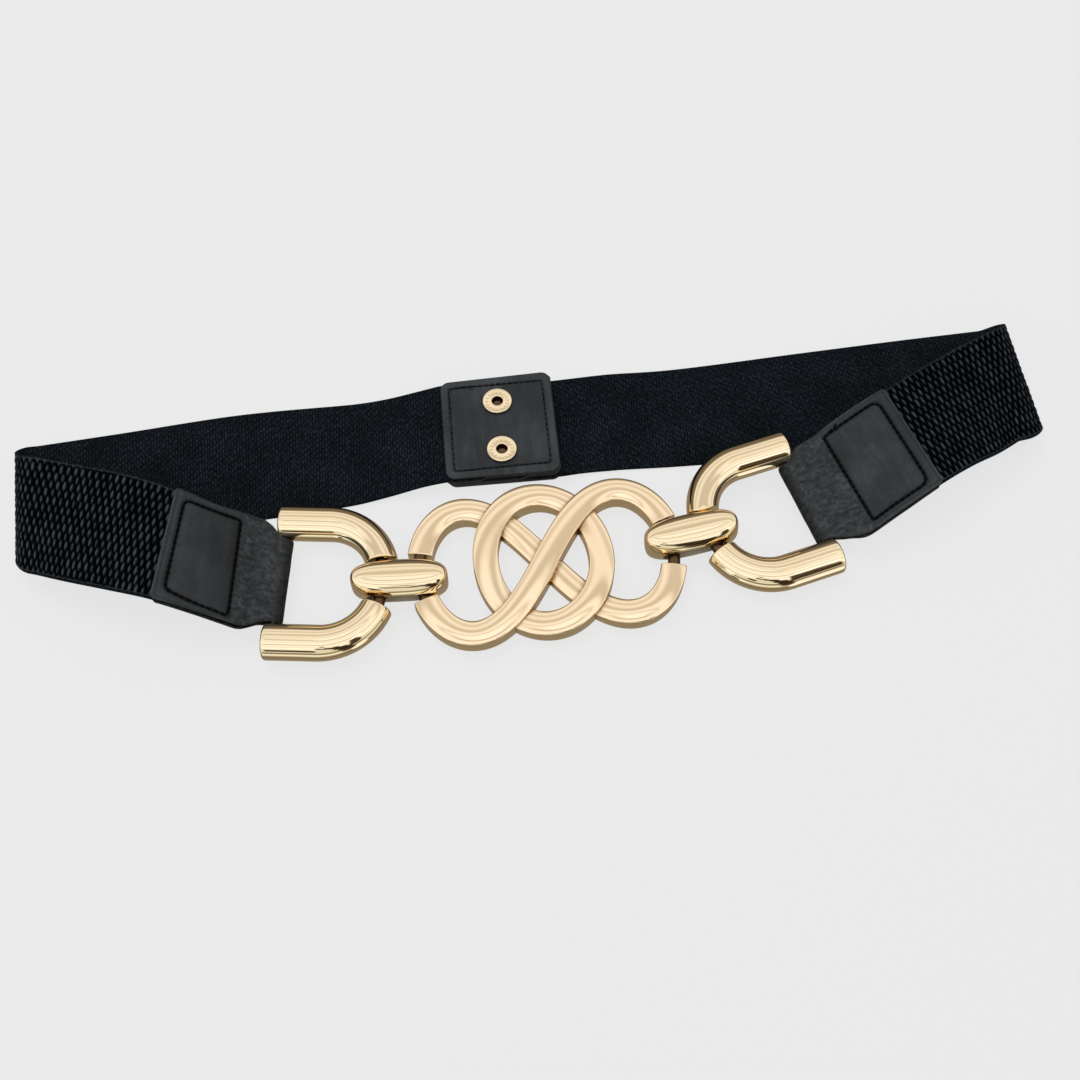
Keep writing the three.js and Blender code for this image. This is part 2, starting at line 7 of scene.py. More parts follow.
import bpy
import numpy as np
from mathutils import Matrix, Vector, noise


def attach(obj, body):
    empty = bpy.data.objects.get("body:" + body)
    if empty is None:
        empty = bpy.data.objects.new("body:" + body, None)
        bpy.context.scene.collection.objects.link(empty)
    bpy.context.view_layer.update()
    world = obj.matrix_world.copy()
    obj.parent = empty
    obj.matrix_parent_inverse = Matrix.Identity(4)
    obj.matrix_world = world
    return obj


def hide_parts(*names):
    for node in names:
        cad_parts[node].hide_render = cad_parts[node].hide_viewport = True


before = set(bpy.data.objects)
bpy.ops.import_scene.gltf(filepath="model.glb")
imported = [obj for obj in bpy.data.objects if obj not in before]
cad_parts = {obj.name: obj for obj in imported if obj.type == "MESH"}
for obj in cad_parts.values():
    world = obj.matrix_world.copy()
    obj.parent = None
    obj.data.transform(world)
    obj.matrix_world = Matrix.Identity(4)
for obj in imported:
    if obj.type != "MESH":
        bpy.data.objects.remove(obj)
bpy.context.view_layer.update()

MM = 0.001
BOX_MIDDLE = np.array([-4.28, 20.35, 0.0])

# Driving sizes, in millimetres.
BAND_WIDTH = 39.5
BAND_THICK = 1.6
LEATHER_THICK = 1.1
GAP = 0.3
# Steps in the round edge of a sheet.
EDGE_STEPS = 5

# Each row is one cross line of a band: its near end x, y, z and its far end x, y, z,
# at the middle of the thickness. The back rows run from the closure out to the fold.
BACK_ROWS = {
    "left": [
        [-21.8, 20.1, 5.4, -25.5, 59.4, 5.4],
        [-30.2, 19.3, 5.4, -34.0, 58.6, 5.4],
        [-39.0, 18.0, 4.3, -42.8, 56.8, 4.3],
        [-50.5, 15.6, 2.0, -54.2, 55.1, 2.0],
        [-63.0, 12.7, 0.8, -66.5, 53.6, 0.8],
        [-99.1, 6.2, 0.8, -105.3, 49.2, 0.8],
        [-138.7, 0.6, 0.8, -146.1, 41.5, 0.8],
        [-167.4, -3.4, 0.8, -174.9, 36.2, 0.8],
    ],
    "right": [
        [-2.3, 22.0, 3.0, -6.0, 61.3, 3.0],
        [6.2, 22.8, 3.0, 2.4, 62.1, 3.0],
        [14.4, 24.8, 1.9, 11.2, 64.1, 1.9],
        [24.0, 26.5, 0.8, 21.2, 66.3, 0.8],
        [48.6, 28.3, 0.8, 45.8, 68.5, 0.8],
        [99.7, 33.6, 0.8, 93.9, 76.0, 0.8],
        [137.9, 42.9, 0.8, 131.0, 81.8, 0.8],
        [167.0, 46.4, 0.8, 161.2, 86.2, 0.8],
    ],
}
# The front rows run from the fold in to the buckle. The buckle's bar is one more row.
FRONT_ROWS = {
    "left": [
        [-161.6, -18.1, 11.0, -168.8, 24.7, 13.0],
        [-150.4, -21.6, 13.0, -152.1, 20.0, 15.5],
        [-136.4, -25.6, 15.5, -135.6, 15.4, 17.5],
        [-120.5, -29.8, 17.0, -117.5, 8.9, 18.0],
        [-107.0, -32.7, 13.0, -105.4, 4.9, 14.0],
        [-94.0, -35.6, 8.0, -94.0, 3.6, 8.5],
    ],
    "right": [
        [162.2, 32.2, 11.0, 156.9, 75.8, 13.0],
        [153.6, 26.0, 13.0, 143.1, 66.5, 15.5],
        [143.3, 19.8, 15.5, 130.5, 57.8, 17.5],
        [131.0, 11.7, 17.0, 115.9, 47.6, 18.0],
        [117.3, 3.2, 13.2, 102.4, 39.8, 14.2],
        [104.6, -4.3, 8.6, 89.6, 31.6, 9.8],
    ],
}
OUTWARD = {"left": -1, "right": 1}
# How far the near and far edges of a fold lean out of line with their rows, in x and y.
FOLD_LEAN = {"left": [(0.0, 0.0), (0.0, 0.0)], "right": [(3.1, 0.9), (2.2, 3.8)]}
TAB_OUTER_ROW = 3
BAND_END_ROW = 4.45
# Row and half width of a leather tab where it narrows to pass between the legs of the horseshoe.
TAPER_NEAR = {
    "left": [(4.9, 19.75), (5.05, 19.2), (5.25, 17.9), (5.5, 16.1), (5.8, 14.9), (6.0, 14.6)],
    "right": [(4.75, 19.75), (4.9, 19.3), (5.2, 17.5), (5.45, 16.5), (5.7, 15.2), (6.0, 14.9)],
}
TAPER_FAR = [(5.3, 19.75), (5.55, 18.5), (5.73, 16.6), (5.86, 15.5), (6.0, 15.1)]
PINCH_ROW = 4.9
BAR_ROW = 6
TAB_PINCH = 0.5

# The horseshoes.
TUBE_RADIUS = 5.8
TUBE_NECK_RADIUS = 5.3
SHOE_HALF_SPACING = 21.2
SHOE_LENGTH = 36.5
SHOE_BEND = 18.5
BAR_RADIUS = {"left": 1.5, "right": 1.15}
BAR_INSET = 3.2
BAR_DROP = 1.2
# How much shorter the legs are than the model's, and how much nearer their ends the bar is: in its
# middle, and on top of that at the near leg.
LEG_TRIM = {"left": 1.2, "right": 0.1}
BAR_SHIFT = {"left": 0.0, "right": 1.05}
BAR_SKEW = {"left": 0.0, "right": 0.6}
SHOES = {
    "left": {"x": -50.9, "y": -19.0, "turn": -1.5, "tilt": 0.0},
    "right": {"x": 55.8, "y": -0.9, "turn": 199.5, "tilt": -2.9},
}
NECK_RADIUS = 2.0
# How far from the middle of a link each cut end stands: the near and far legs, and the knot's strands.
NECK_HALF = 8.3
LEG_CUTS = {"left": (8.5, 7.7), "right": (7.7, 7.6)}
STRAND_CUTS = {"over": (8.3, 8.3), "under": (7.5, 8.3)}
NECK_BITE = 1.5
# The leg whose cut end fits the round side of its link, by its side in the horseshoe's own frame.
FAR_LEG = {"left": 1, "right": -1}
CUT_REACH = 6.0
CUT_GAP = 0.35
# The radius of the round edges at the cut and at the free ends of the legs.
CUT_ROUND = 0.5
END_ROUND = 0.9
# How wide the flat rim of a leg's end is, and how far its middle is sunk.
END_RIM = 1.5
END_SINK = 0.3

# The links.
LINK = {"length": 31, "width": 13.2, "height": 13, "slot_length": 21.6, "slot_low": 2.7, "slot_high": 8.3}
# How blunt the ends of a link are, seen from above and seen from the side.
LINK_BLUNTNESS = (2.7, 6.5)
LINK_SQUARENESS = 0.85
LINKS = {
    "left": {"x": -45.1, "y": -18.2, "turn": 3.0, "pitch": 0.0, "lift": 0.0},
    "right": {"x": 50.0, "y": -1.7, "turn": 12.0, "pitch": -5.0, "lift": 0.75},
}

# The knot.
KNOT = {"x": 2.3, "y": -10.3, "turn": 8.8}
EIGHT = {"half_length": 41.5, "half_width": 22.5, "roundness": 0.072}
RING = {"x": -1.0, "y": 0.9, "half_length": 18.8, "half_width": 23.5}
STRAND = {"width": 8.3, "face_slope": 22.0, "shoulder": 0.6, "back_width": 1.7, "back_height": 2.2}
STRAND_HEIGHT = 7.5
OVER_RISE = 1.5
UNDER_DROP = 2.4
RING_SWING = 1.0
CROSSING_SPAN = 0.95
KNOT_NECK_HEIGHT = 5.3
STRAND_BEVEL = 0.35

# The closure at the back.
CLOSURE = {"x": -13.9, "y": 40.7, "turn": 5.5, "half_length": 19.4, "width": 39.4}
CLOSURE_LEATHER = 0.9
POCKET_DEPTH = 11
POCKET_SLOPE = 3
OUTER_TAB_LOW = 1.0
INNER_TAB_TOP = 7.4
SNAP_SPACING = 19.7
STUD = {"ring": 5.1, "hole": 1.85, "post": 2.4, "disc": 5.0, "knob": 2.0, "waist": 1.7}
SOCKET = {"cap": 6.0, "foot": 4.4, "post": 1.8, "rim": 5.0, "cup": 2.4}


# Curves and meshes.

def to_frame(points):
    """Plan millimetres as metres in the frame of the model."""
    return (np.asarray(points, float) - BOX_MIDDLE) * MM


def split(points):
    return np.moveaxis(np.asarray(points, float), -1, 0)


def placed(x, y, z, place):
    """Points of a piece's own frame in the plan, by the turn in degrees and the x and y of its place."""
    turn = radians(place["turn"])
    along = place["x"] + x * cos(turn) - y * sin(turn)
    back = place["y"] + x * sin(turn) + y * cos(turn)
    return np.stack([along, back, z], axis=-1)


def circle(count):
    """Angles evenly round a circle."""
    return np.linspace(0, 2 * pi, count, endpoint=False)


def arc(x, z, radius, start, stop, steps):
    """Points of a round edge in a section or profile, by angles in degrees from straight out."""
    return [(x + radius * cos(a), z + radius * sin(a)) for a in np.radians(np.linspace(start, stop, steps))]


def smooth_curve(points, places):
    """Points on a centripetal Catmull-Rom curve, at places counted in its control points."""
    points = np.asarray(points, float)
    padded = np.vstack([2 * points[0] - points[1], points, 2 * points[-1] - points[-2]])
    span = np.clip(np.floor(places).astype(int), 0, len(points) - 2)
    t = (places - span)[:, None]
    p0, p1, p2, p3 = (padded[span + k] for k in range(4))
    pairs = ((p0, p1), (p1, p2), (p2, p3))
    d0, d1, d2 = (np.sqrt(np.linalg.norm(b - a, axis=1))[:, None] for a, b in pairs)
    m1 = ((p1 - p0) / d0 - (p2 - p0) / (d0 + d1) + (p2 - p1) / d1) * d1
    m2 = ((p2 - p1) / d1 - (p3 - p1) / (d1 + d2) + (p3 - p2) / d2) * d1
    cubic = 2 * p1 - 2 * p2 + m1 + m2
    square = -3 * p1 + 3 * p2 - 2 * m1 - m2
    return p1 + m1 * t + square * t ** 2 + cubic * t ** 3


def lengths_along(points):
    steps = np.linalg.norm(np.diff(points, axis=0), axis=1)
    return np.concatenate([[0.0], np.cumsum(steps)])


def unit(vectors):
    return vectors / np.linalg.norm(vectors, axis=-1, keepdims=True)


def smooth_step(value, low, high):
    share = np.clip((value - low) / (high - low), 0, 1)
    return share * share * (3 - 2 * share)


def read_off(lengths, s, line):
    """A line at other lengths than its own lengths s."""
    return np.stack([np.interp(lengths, s, column) for column in line.T], axis=1)


def at_lengths(track, lengths):
    """The near line, far line and normal of a track at other lengths along it."""
    near, far, normal = (read_off(lengths, track["s"], track[name]) for name in ("near", "far", "normal"))
    return {"s": lengths, "near": near, "far": far, "normal": unit(normal)}


def half_widths_of(track):
    return np.linalg.norm(track["far"] - track["near"], axis=1) / 2


def graded(start, stop, coarse, fine, marks, reach):
    """Numbers from start to stop that lie a fine step apart near the marks and a coarse step elsewhere."""
    x = np.linspace(start, stop, 6000)
    step = np.full_like(x, coarse)
    for mark in marks:
        step = np.minimum(step, fine + (coarse - fine) * np.clip((np.abs(x - mark) - reach) / reach, 0, 1))
    count = np.concatenate([[0.0], np.cumsum(np.diff(x) / step[1:])])
    return np.interp(np.linspace(0, count[-1], int(round(count[-1])) + 1), count, x)


def store(piece, name, values):
    """Keeps a number for each corner of a mesh under a name that materials read."""
    attribute = piece.data.attributes.new(name, "FLOAT", "POINT")
    attribute.data.foreach_set("value", np.ascontiguousarray(values, np.float32).ravel())


def new_object(name, data):
    thing = bpy.data.objects.new(name, data)
    bpy.context.scene.collection.objects.link(thing)
    return thing


def mesh_object(name, vertices, faces, face_uv=None):
    mesh = bpy.data.meshes.new(name)
    mesh.from_pydata(vertices.tolist(), [], [face.tolist() for face in faces])
    if face_uv is not None:
        layer = mesh.uv_layers.new(name="UVMap")
        layer.data.foreach_set("uv", np.concatenate(face_uv).astype(np.float32).ravel())
    mesh.update()
    return new_object(name, mesh)


def skin(sides, spans):
    """The quads between rings of corners, as the numbers of their rings and of their corners."""
    i, j = np.meshgrid(np.arange(spans), np.arange(sides), indexing="ij")
    rows = np.stack([i, i, i + 1, i + 1], axis=-1).reshape(-1, 4)
    columns = np.stack([j, j + 1, j + 1, j], axis=-1).reshape(-1, 4)
    return rows, columns


def loft(name, rings, uv=None, endless=False):
    """A closed skin through rings of corners in the plan. uv has one more column, for the seam."""
    count, sides = rings.shape[:2]
    spans = count if endless else count - 1
    if uv is None:
        uv = np.zeros((spans + 1, sides + 1, 2))
    rows, columns = skin(sides, spans)
    quads = rows % count * sides + columns % sides
    vertices = to_frame(rings).reshape(-1, 3)
    a, b, c, d = (vertices[quads[:, k]] for k in range(4))
    volume = (a * np.cross(b, c)).sum() + (a * np.cross(c, d)).sum()
    faces = [*quads]
    face_uv = [*uv[rows, columns]]
    if not endless:
        faces += [np.arange(sides)[::-1], (count - 1) * sides + np.arange(sides)]
        face_uv += [uv[0, :sides][::-1], uv[-1, :sides]]
    way = -1 if volume < 0 else 1
    return mesh_object(name, vertices, [face[::way] for face in faces], [part[::way] for part in face_uv])


def sheet_rings(track, edge, half_widths, half_heights, across, rise, across_inner):
    """Rings of a sheet with rounded edges. across and across_inner are the cross places of its outer
    face from -1 to 1 and of its inner face from 1 to -1. The rise of the outer face is a function
    of length and cross distance in millimetres."""
    middle = (track["near"] + track["far"]) / 2
    side = unit(track["far"] - track["near"])
    side = unit(side - (side * track["normal"]).sum(1, keepdims=True) * track["normal"])
    turn = np.linspace(0, pi / 2, EDGE_STEPS + 2)[1:-1]
    flat = (half_widths - edge)[:, None]
    tall = half_heights[:, None]
    w_outer = flat * across
    w_inner = flat * across_inner
    rim = flat + edge * np.sin(turn)
    low_rim = flat + edge * np.cos(turn)
    drop = np.minimum(edge, tall) * (1 - np.cos(turn))
    lift = np.minimum(edge, tall) * (1 - np.sin(turn))
    outer = tall + rise(np.broadcast_to(track["s"][:, None], w_outer.shape), w_outer)
    inner = np.broadcast_to(-tall, w_inner.shape)
    w = np.concatenate([w_outer, rim, low_rim, w_inner, -rim, -low_rim], axis=1)
    z = np.concatenate([outer, tall - drop, -tall + lift, inner, -tall + drop, tall - lift], axis=1)
    return middle[:, None] + side[:, None] * w[..., None] + track["normal"][:, None] * z[..., None], w


def sheet_uv(track, w):
    """Length and cross distance as UV, in metres."""
    seam = np.concatenate([w, w[:, :1]], axis=1)
    u = np.broadcast_to(track["s"][:, None], seam.shape)
    return np.stack([u, seam], axis=-1) * MM


def round_rings(points, side, up, radii, sides):
    """Rings of corners round points, with a radius for each, in the plane of side and up."""
    angles = circle(sides)[:, None]
    ring = side[:, None] * np.cos(angles) + up[:, None] * np.sin(angles)
    return points[:, None] + ring * np.asarray(radii)[:, None, None]


def swept(points, radii, sides):
    """Rings of a round rod through points, which stand across its line."""
    along = unit(np.gradient(points, axis=0))
    side = unit(np.cross([0.0, 0.0, 1.0], along))
    return round_rings(points, side, np.cross(along, side), radii, sides)


def coat(piece, materials, index=0):
    """Gives a mesh its materials and each face, or all of them, its place in their list."""
    for material in materials:
        piece.data.materials.append(material)
    faces = np.broadcast_to(np.asarray(index, np.int32), len(piece.data.polygons))
    piece.data.polygons.foreach_set("material_index", np.ascontiguousarray(faces))
    return piece


def dress(piece, node, sharp=None):
    """Smooths a piece, but not over edges sharper than an angle in degrees, hangs it from the root, and hides
    the model's part that it stands for.
    """
    piece.data.shade_smooth()
    if sharp:
        piece.data.set_sharp_from_angle(angle=radians(sharp))
    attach(piece, "root")
    if node:
        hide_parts(node)
    return piece


def joined(base, others, operation="UNION"):
    """Joins or cuts closed meshes and leaves one."""
    for other in others:
        change = base.modifiers.new("join", "BOOLEAN")
        change.solver = "MANIFOLD"
        change.operation = operation
        change.object = other
        graph = bpy.context.evaluated_depsgraph_get()
        result = bpy.data.meshes.new_from_object(base.evaluated_get(graph))
        base.modifiers.clear()
        base.data = result
        bpy.data.objects.remove(other)
    return base


# Materials.

class Nodes:
    """Short calls for making a node tree."""

    def __init__(self, tree):
        self.tree = tree
        tree.nodes.clear()

    def give(self, socket, value):
        """Links a socket to an output, or sets its own value."""
        if isinstance(value, bpy.types.NodeSocket):
            self.tree.links.new(value, socket)
        else:
            socket.default_value = value

    def add(self, kind, inputs=None, **settings):
        node = self.tree.nodes.new("ShaderNode" + kind)
        for name, value in settings.items():
            setattr(node, name, value)
        for name, value in (inputs or {}).items():
            self.give(node.inputs[name], value)
        return node

    def out(self, output, kind, inputs=None, **settings):
        """One output of a new node."""
        return self.add(kind, inputs, **settings).outputs[output]

    def math(self, operation, *values):
        return self.out(0, "Math", dict(enumerate(values)), operation=operation)

    def from_middle(self, value, weight, middle=0.5):
        """How far a value is from its middle, times a weight."""
        return self.math("MULTIPLY", self.math("SUBTRACT", value, middle), weight)

    def noise(self, place, scale, detail, output="Fac", **inputs):
        return self.out(output, "TexNoise", {"Vector": place, "Scale": scale, "Detail": detail, **inputs})

    def scaled(self, place, *scale):
        return self.out("Vector", "Mapping", {"Vector": place, "Scale": scale})

    def vector(self, operation, inputs):
        return self.out(0, "VectorMath", inputs, operation=operation)

    def between(self, value, low, high):
        """A value as its share of the way from low to high."""
        return self.out(0, "MapRange", {"Value": value, "From Min": low, "From Max": high})

    def ramp(self, factor, stops):
        node = self.add("ValToRGB", {"Fac": factor})
        band = node.color_ramp
        while len(band.elements) < len(stops):
            band.elements.new(0.5)
        for element, (place, colour) in zip(band.elements, stops):
            element.position = place
            element.color = (*colour, 1)
        return node.outputs["Color"]

    def mix(self, factor, first, second):
        node = self.add("Mix", data_type="RGBA")
        for name, value in (("Factor", factor), ("A", first), ("B", second)):
            self.give([s for s in node.inputs if s.name == name and s.enabled][0], value)
        return [s for s in node.outputs if s.enabled][0]

    def surface(self, colour, roughness, bump, more):
        """The shader of a material. The bump is its height, its strength and its distance."""
        normal = self.out("Normal", "Bump", dict(zip(("Height", "Strength", "Distance"), bump)))
        inputs = {"Base Color": colour, "Roughness": roughness, "Normal": normal, **more}
        self.add("OutputMaterial", {"Surface": self.out(0, "BsdfPrincipled", inputs)})


def new_material(name, coordinates="Object"):
    material = bpy.data.materials.new(name)
    material.use_nodes = True
    nodes = Nodes(material.node_tree)
    return material, nodes, nodes.out(coordinates, "TexCoord")


def tinted(colour, *shares):
    return (*(value * share for value, share in zip(colour, shares)), 1)


def gilt(name, roughness, colour, metallic=1.0, crevice_shade=0.0):
    """Gold-coloured plating with faint handling marks, with painted shade in crevices of the depth given."""
    material, nodes, place = new_material(name)
    wide = nodes.noise(place, 60.0, 2.0)
    rough = nodes.math("MULTIPLY_ADD", nodes.noise(place, 900.0, 4.0), 0.04, roughness - 0.02)
    tint = nodes.mix(wide, (*colour, 1), tinted(colour, 0.98, 0.96, 0.92))
    if crevice_shade:
        # Painted shade: ambient occlusion darkens the colour where parts of the same piece meet.
        light = nodes.out("AO", "AmbientOcclusion", {"Distance": crevice_shade}, samples=8, only_local=True)
        tint = nodes.mix(nodes.between(light, 0.45, 0.9), tinted(colour, 0.3, 0.24, 0.2), tint)
    nodes.surface(tint, rough, (wide, 0.1, 0.0006), {"Metallic": metallic})
    return material


def woven_outer():
    """The bumpy face of the elastic: dark dull yarn, with a painted highlight on top of each bump and painted
    shade in the gaps between them.
    """
    material, nodes, place = new_material("woven_outer", "UV")
    rise = nodes.out("Fac", "Attribute", attribute_name="rise")
    patchy = nodes.math("MULTIPLY_ADD", nodes.noise(place, 420.0, 1.0), 1.1, 0.45)
    yarn = nodes.from_middle(nodes.noise(place, 1500.0, 4.0), 0.75)
    # Painted light: the bump height makes the tops pale and the gaps dark.
    lit = nodes.math("ADD", yarn, nodes.math("MULTIPLY", rise, patchy))
    shade = nodes.ramp(lit, [(0.0, (0.0004, 0.0008, 0.0014)), (0.3, (0.0018, 0.0028, 0.0040)),
                             (0.55, (0.010, 0.0128, 0.0150)), (0.95, (0.036, 0.0425, 0.0465))])
    thread = nodes.noise(nodes.scaled(place, 4.0, 0.8, 1.0), 1400.0, 3.0)
    shine = nodes.math("MULTIPLY", rise, 0.12)
    nodes.surface(shade, 0.6, (thread, 0.5, 0.0002), {"Specular IOR Level": shine})
    return material


RIB_PITCH = 1.0
STITCH_LENGTH = 2.2


def woven_inner():
    """The fine face of the elastic: short upright stitches in ribs a millimetre apart."""
    material, nodes, place = new_material("woven_inner", "UV")
    apart = nodes.add("SeparateXYZ", {"Vector": place}).outputs
    waver = nodes.noise(place, 330.0, 3.0)
    u = nodes.math("MULTIPLY_ADD", waver, 0.0011, apart["X"])
    v = nodes.math("MULTIPLY_ADD", waver, 0.0016, apart["Y"])
    column = nodes.math("MULTIPLY", u, 1 / (RIB_PITCH * MM))
    row_shift = nodes.math("MULTIPLY", nodes.math("FLOOR", column), 0.37)
    row = nodes.math("ADD", nodes.math("MULTIPLY", v, 1 / (STITCH_LENGTH * MM)), row_shift)
    rib, stitch = (nodes.math("SINE", nodes.math("MULTIPLY", nodes.math("FRACT", value), pi))
                   for value in (column, row))
    fibre = nodes.math("MULTIPLY", nodes.noise(place, 700.0, 5.0), 0.9)
    height = nodes.math("MULTIPLY", rib, nodes.math("POWER", stitch, 0.5))
    whole = nodes.math("MULTIPLY_ADD", height, 0.4, fibre)
    shaded = nodes.math("ADD", nodes.from_middle(nodes.noise(place, 60.0, 3.0), 0.4), whole)
    shade = nodes.ramp(shaded, [(0.35, (0.0003, 0.0007, 0.0012)), (0.7, (0.0034, 0.0054, 0.0074)),
                                (0.95, (0.0135, 0.0185, 0.0225))])
    nodes.surface(shade, 0.8, (whole, 0.8, 0.0003), {"Specular IOR Level": 0.06})
    return material


def leather(name):
    """Dark grey leather. Its grain attribute runs from 0, where it is pressed smooth, to 1, pebbled.
    Its seam attribute darkens it along a row of stitches, as a pressed line with painted shade in its
    groove, and on a tab as painted shade where it turns down round the bar. Its rim attribute makes
    it paler: on a tab as lines of wear and painted sheen by the edge and a painted light slope over
    the pad, and on a closure tab on the border outside its stitches."""
    material, nodes, place = new_material(name)
    cloth = nodes.out("UV", "TexCoord")
    grain, seam, rim = (nodes.out("Fac", "Attribute", attribute_name=key) for key in ("grain", "seam", "rim"))
    bent = nodes.vector("SCALE", {0: nodes.noise(place, 300.0, 3.0, "Color"), "Scale": 0.0028})
    moved = nodes.vector("ADD", {0: place, 1: bent})
    edge = nodes.out("Distance", "TexVoronoi", {"Vector": moved, "Scale": 620.0}, feature="DISTANCE_TO_EDGE")
    cell = nodes.math("MINIMUM", nodes.math("MULTIPLY", edge, 3.0), 1.0)
    wrinkle = nodes.noise(nodes.scaled(cloth, 0.68, 1.0, 1.0), 640.0, 1.5, Distortion=0.5)
    pore = nodes.noise(place, 2600.0, 3.0)
    slow = nodes.noise(place, 75.0, 3.0)
    streak = nodes.noise(nodes.scaled(cloth, 1.0, 0.12, 1.0), 420.0, 3.0)
    pebbles = nodes.math("ADD", nodes.from_middle(cell, 0.2, 0.6), nodes.from_middle(wrinkle, 1.35))
    pebbled = nodes.math("MULTIPLY", pebbles, grain)
    smooth = nodes.math("ADD", nodes.from_middle(streak, 0.5), nodes.from_middle(pore, 0.6))
    tone = nodes.math("ADD", pebbled, nodes.from_middle(slow, 0.9))
    tone = nodes.math("ADD", tone, nodes.math("MULTIPLY", smooth, nodes.math("SUBTRACT", 1.0, grain)))
    tone = nodes.math("ADD", tone, nodes.math("MULTIPLY_ADD", rim, 0.16, 0.5))
    # The seam attribute darkens the leather: a pressed line with painted shade along the stitches, and
    # painted shade at a tab's turn.
    tone = nodes.math("MULTIPLY_ADD", seam, -0.6, tone)
    shade = nodes.ramp(tone, [(0.0, (0.0022, 0.0028, 0.0032)), (0.5, (0.0145, 0.0175, 0.0185)),
                              (1.0, (0.045, 0.051, 0.052))])
    relief = nodes.math("MULTIPLY_ADD", smooth, 0.3, pebbled)
    rough = nodes.math("MULTIPLY_ADD", slow, 0.2, 0.34)
    nodes.surface(shade, rough, (relief, 1.0, 0.0005), {"Specular IOR Level": 0.26})
    return material


def thread_material():
    material, nodes, place = new_material("thread")
    ply = nodes.noise(place, 4000.0, 2.0)
    shade = nodes.ramp(ply, [(0.3, (0.0005, 0.0006, 0.0008)), (0.8, (0.0025, 0.0028, 0.0032))])
    nodes.surface(shade, 0.8, (ply, 0.4, 0.0001), {"Specular IOR Level": 0.06})
    return material


POLISHED = gilt("gilt_polished", 0.06, (0.935, 0.775, 0.51))
# The satin gilt of the knot has painted shade where its strands cross and meet the necks.
SATIN = gilt("gilt_satin", 0.065, (0.985, 0.79, 0.525), crevice_shade=0.0024)
# A dark copy of the gilt that paints shade on the necks inside the links and inside the stud holes.
GILT_PAINTED_SHADE = gilt("gilt_painted_shade", 0.3, (0.13, 0.085, 0.045))
CAST_GILT = gilt("gilt_as_cast", 0.55, (0.55, 0.49, 0.37), 0.1)
WOVEN_OUTER = woven_outer()
WOVEN_INNER = woven_inner()
LEATHER = leather("leather")
THREAD = thread_material()


# The elastic bands.

WEAVE = {"pitch": 2.4, "row": 2.95, "shift": 0.8, "lean": 0.13, "half_width": 0.6, "half_length": 1.78}
WEAVE_HEIGHT = 0.45
# How far before the outermost line of a fold the close stations of the bumpy face begin.
FOLD_REACH = 14.0
STATION_STEP = WEAVE["pitch"] / 9
BACK_STATION_STEP = 0.45
# Places across the outer face of a band and across its inner face.
OUTER_PLACES = 77
INNER_PLACES = 15
# How many places are worked out along the curves of the bands and the tabs.
SAMPLES = {"back": 281, "front": 191, "fold": 33, "tab": 241, "turn": 41}
# The step that a band's lines are evened to, and the length over which their corners are softened.
TRACK_STEP = 0.2
TRACK_SOFTNESS = 0.9
# How bright the painted highlight is on top of the bumps of each band.
BUMP_HIGHLIGHT = {"left": 1.0, "right": 0.88}


def scatter(i, j):
    """A steady number from 0 to 1 for each pair of whole numbers."""
    value = np.sin(i * 12.9898 + j * 78.233) * 43758.5453
    return value - np.floor(value)


def weave(s, q):
    """Height of the bumps from 0 to 1. Their rows step towards the tab as they come nearer."""
    best = np.zeros(s.shape)
    row = np.round(q / WEAVE["row"])
    for j in (row - 1, row, row + 1):
        dq = q - j * WEAVE["row"]
        own = s + WEAVE["lean"] * dq - j * WEAVE["shift"]
        i = np.round(own / WEAVE["pitch"])
        size = 0.88 + 0.24 * scatter(i, j)
        across = (own - i * WEAVE["pitch"] + 0.18 * (scatter(j, i) - 0.5)) / (WEAVE["half_width"] * size)
        inside = np.clip(1 - across ** 2 - (dq / (WEAVE["half_length"] * size)) ** 2, 0, None)
        best = np.maximum(best, inside ** 0.7 * size)
    return np.minimum(best, 1)


def edge_lines(rows, places):
    near = smooth_curve([row[:3] for row in rows], places)
    far = smooth_curve([row[3:] for row in rows], places)
    for line in (near, far):
        line[:, 2] = np.maximum(line[:, 2], BAND_THICK / 2)
    return near, far


def fold_line(low, high, outward, lean, angles):
    middle = (low + high) / 2
    reach = (high[2] - low[2]) / 2
    out = np.array([outward * reach + lean[0], lean[1], 0])
    return middle + (low - high) / 2 * np.cos(angles) + out * np.sin(angles)


def evened(near, far, step, softness):
    """Both edge lines at even steps along their middle, with their corners softened."""
    s = lengths_along((near + far) / 2)
    even = np.linspace(0, s[-1], int(s[-1] / step) + 1)
    reach = int(3 * softness / step)
    weights = np.exp(-0.5 * (np.arange(-reach, reach + 1) * step / softness) ** 2)
    weights /= weights.sum()
    lines = []
    for line in (near, far):
        line = read_off(even, s, line)
        before = 2 * line[0] - line[reach:0:-1]
        after = 2 * line[-1] - line[-2:-reach - 2:-1]
        padded = np.vstack([before, line, after])
        lines.append(np.stack([np.convolve(column, weights, "valid") for column in padded.T], axis=1))
    return lines


def band_track(side):
    """The middle surface of a band, whose normal points out of the bumpy face."""
    back = edge_lines(BACK_ROWS[side], np.linspace(0, len(BACK_ROWS[side]) - 1, SAMPLES["back"]))
    front = edge_lines(front_rows(side), np.linspace(0, BAND_END_ROW, SAMPLES["front"]))
    angles = np.linspace(0, pi, SAMPLES["fold"])[1:-1, None]
    lines = []
    for first, last, lean in zip(back, front, FOLD_LEAN[side]):
        turn = fold_line(first[-1], last[0], OUTWARD[side], lean, angles)
        lines.append(np.vstack([first, turn, last]))
    near, far = evened(*lines, TRACK_STEP, TRACK_SOFTNESS)
    middle = (near + far) / 2
    normal = unit(np.cross(np.gradient(middle, axis=0), far - near)) * -OUTWARD[side]
    return {"s": lengths_along(middle), "near": near, "far": far, "normal": normal}


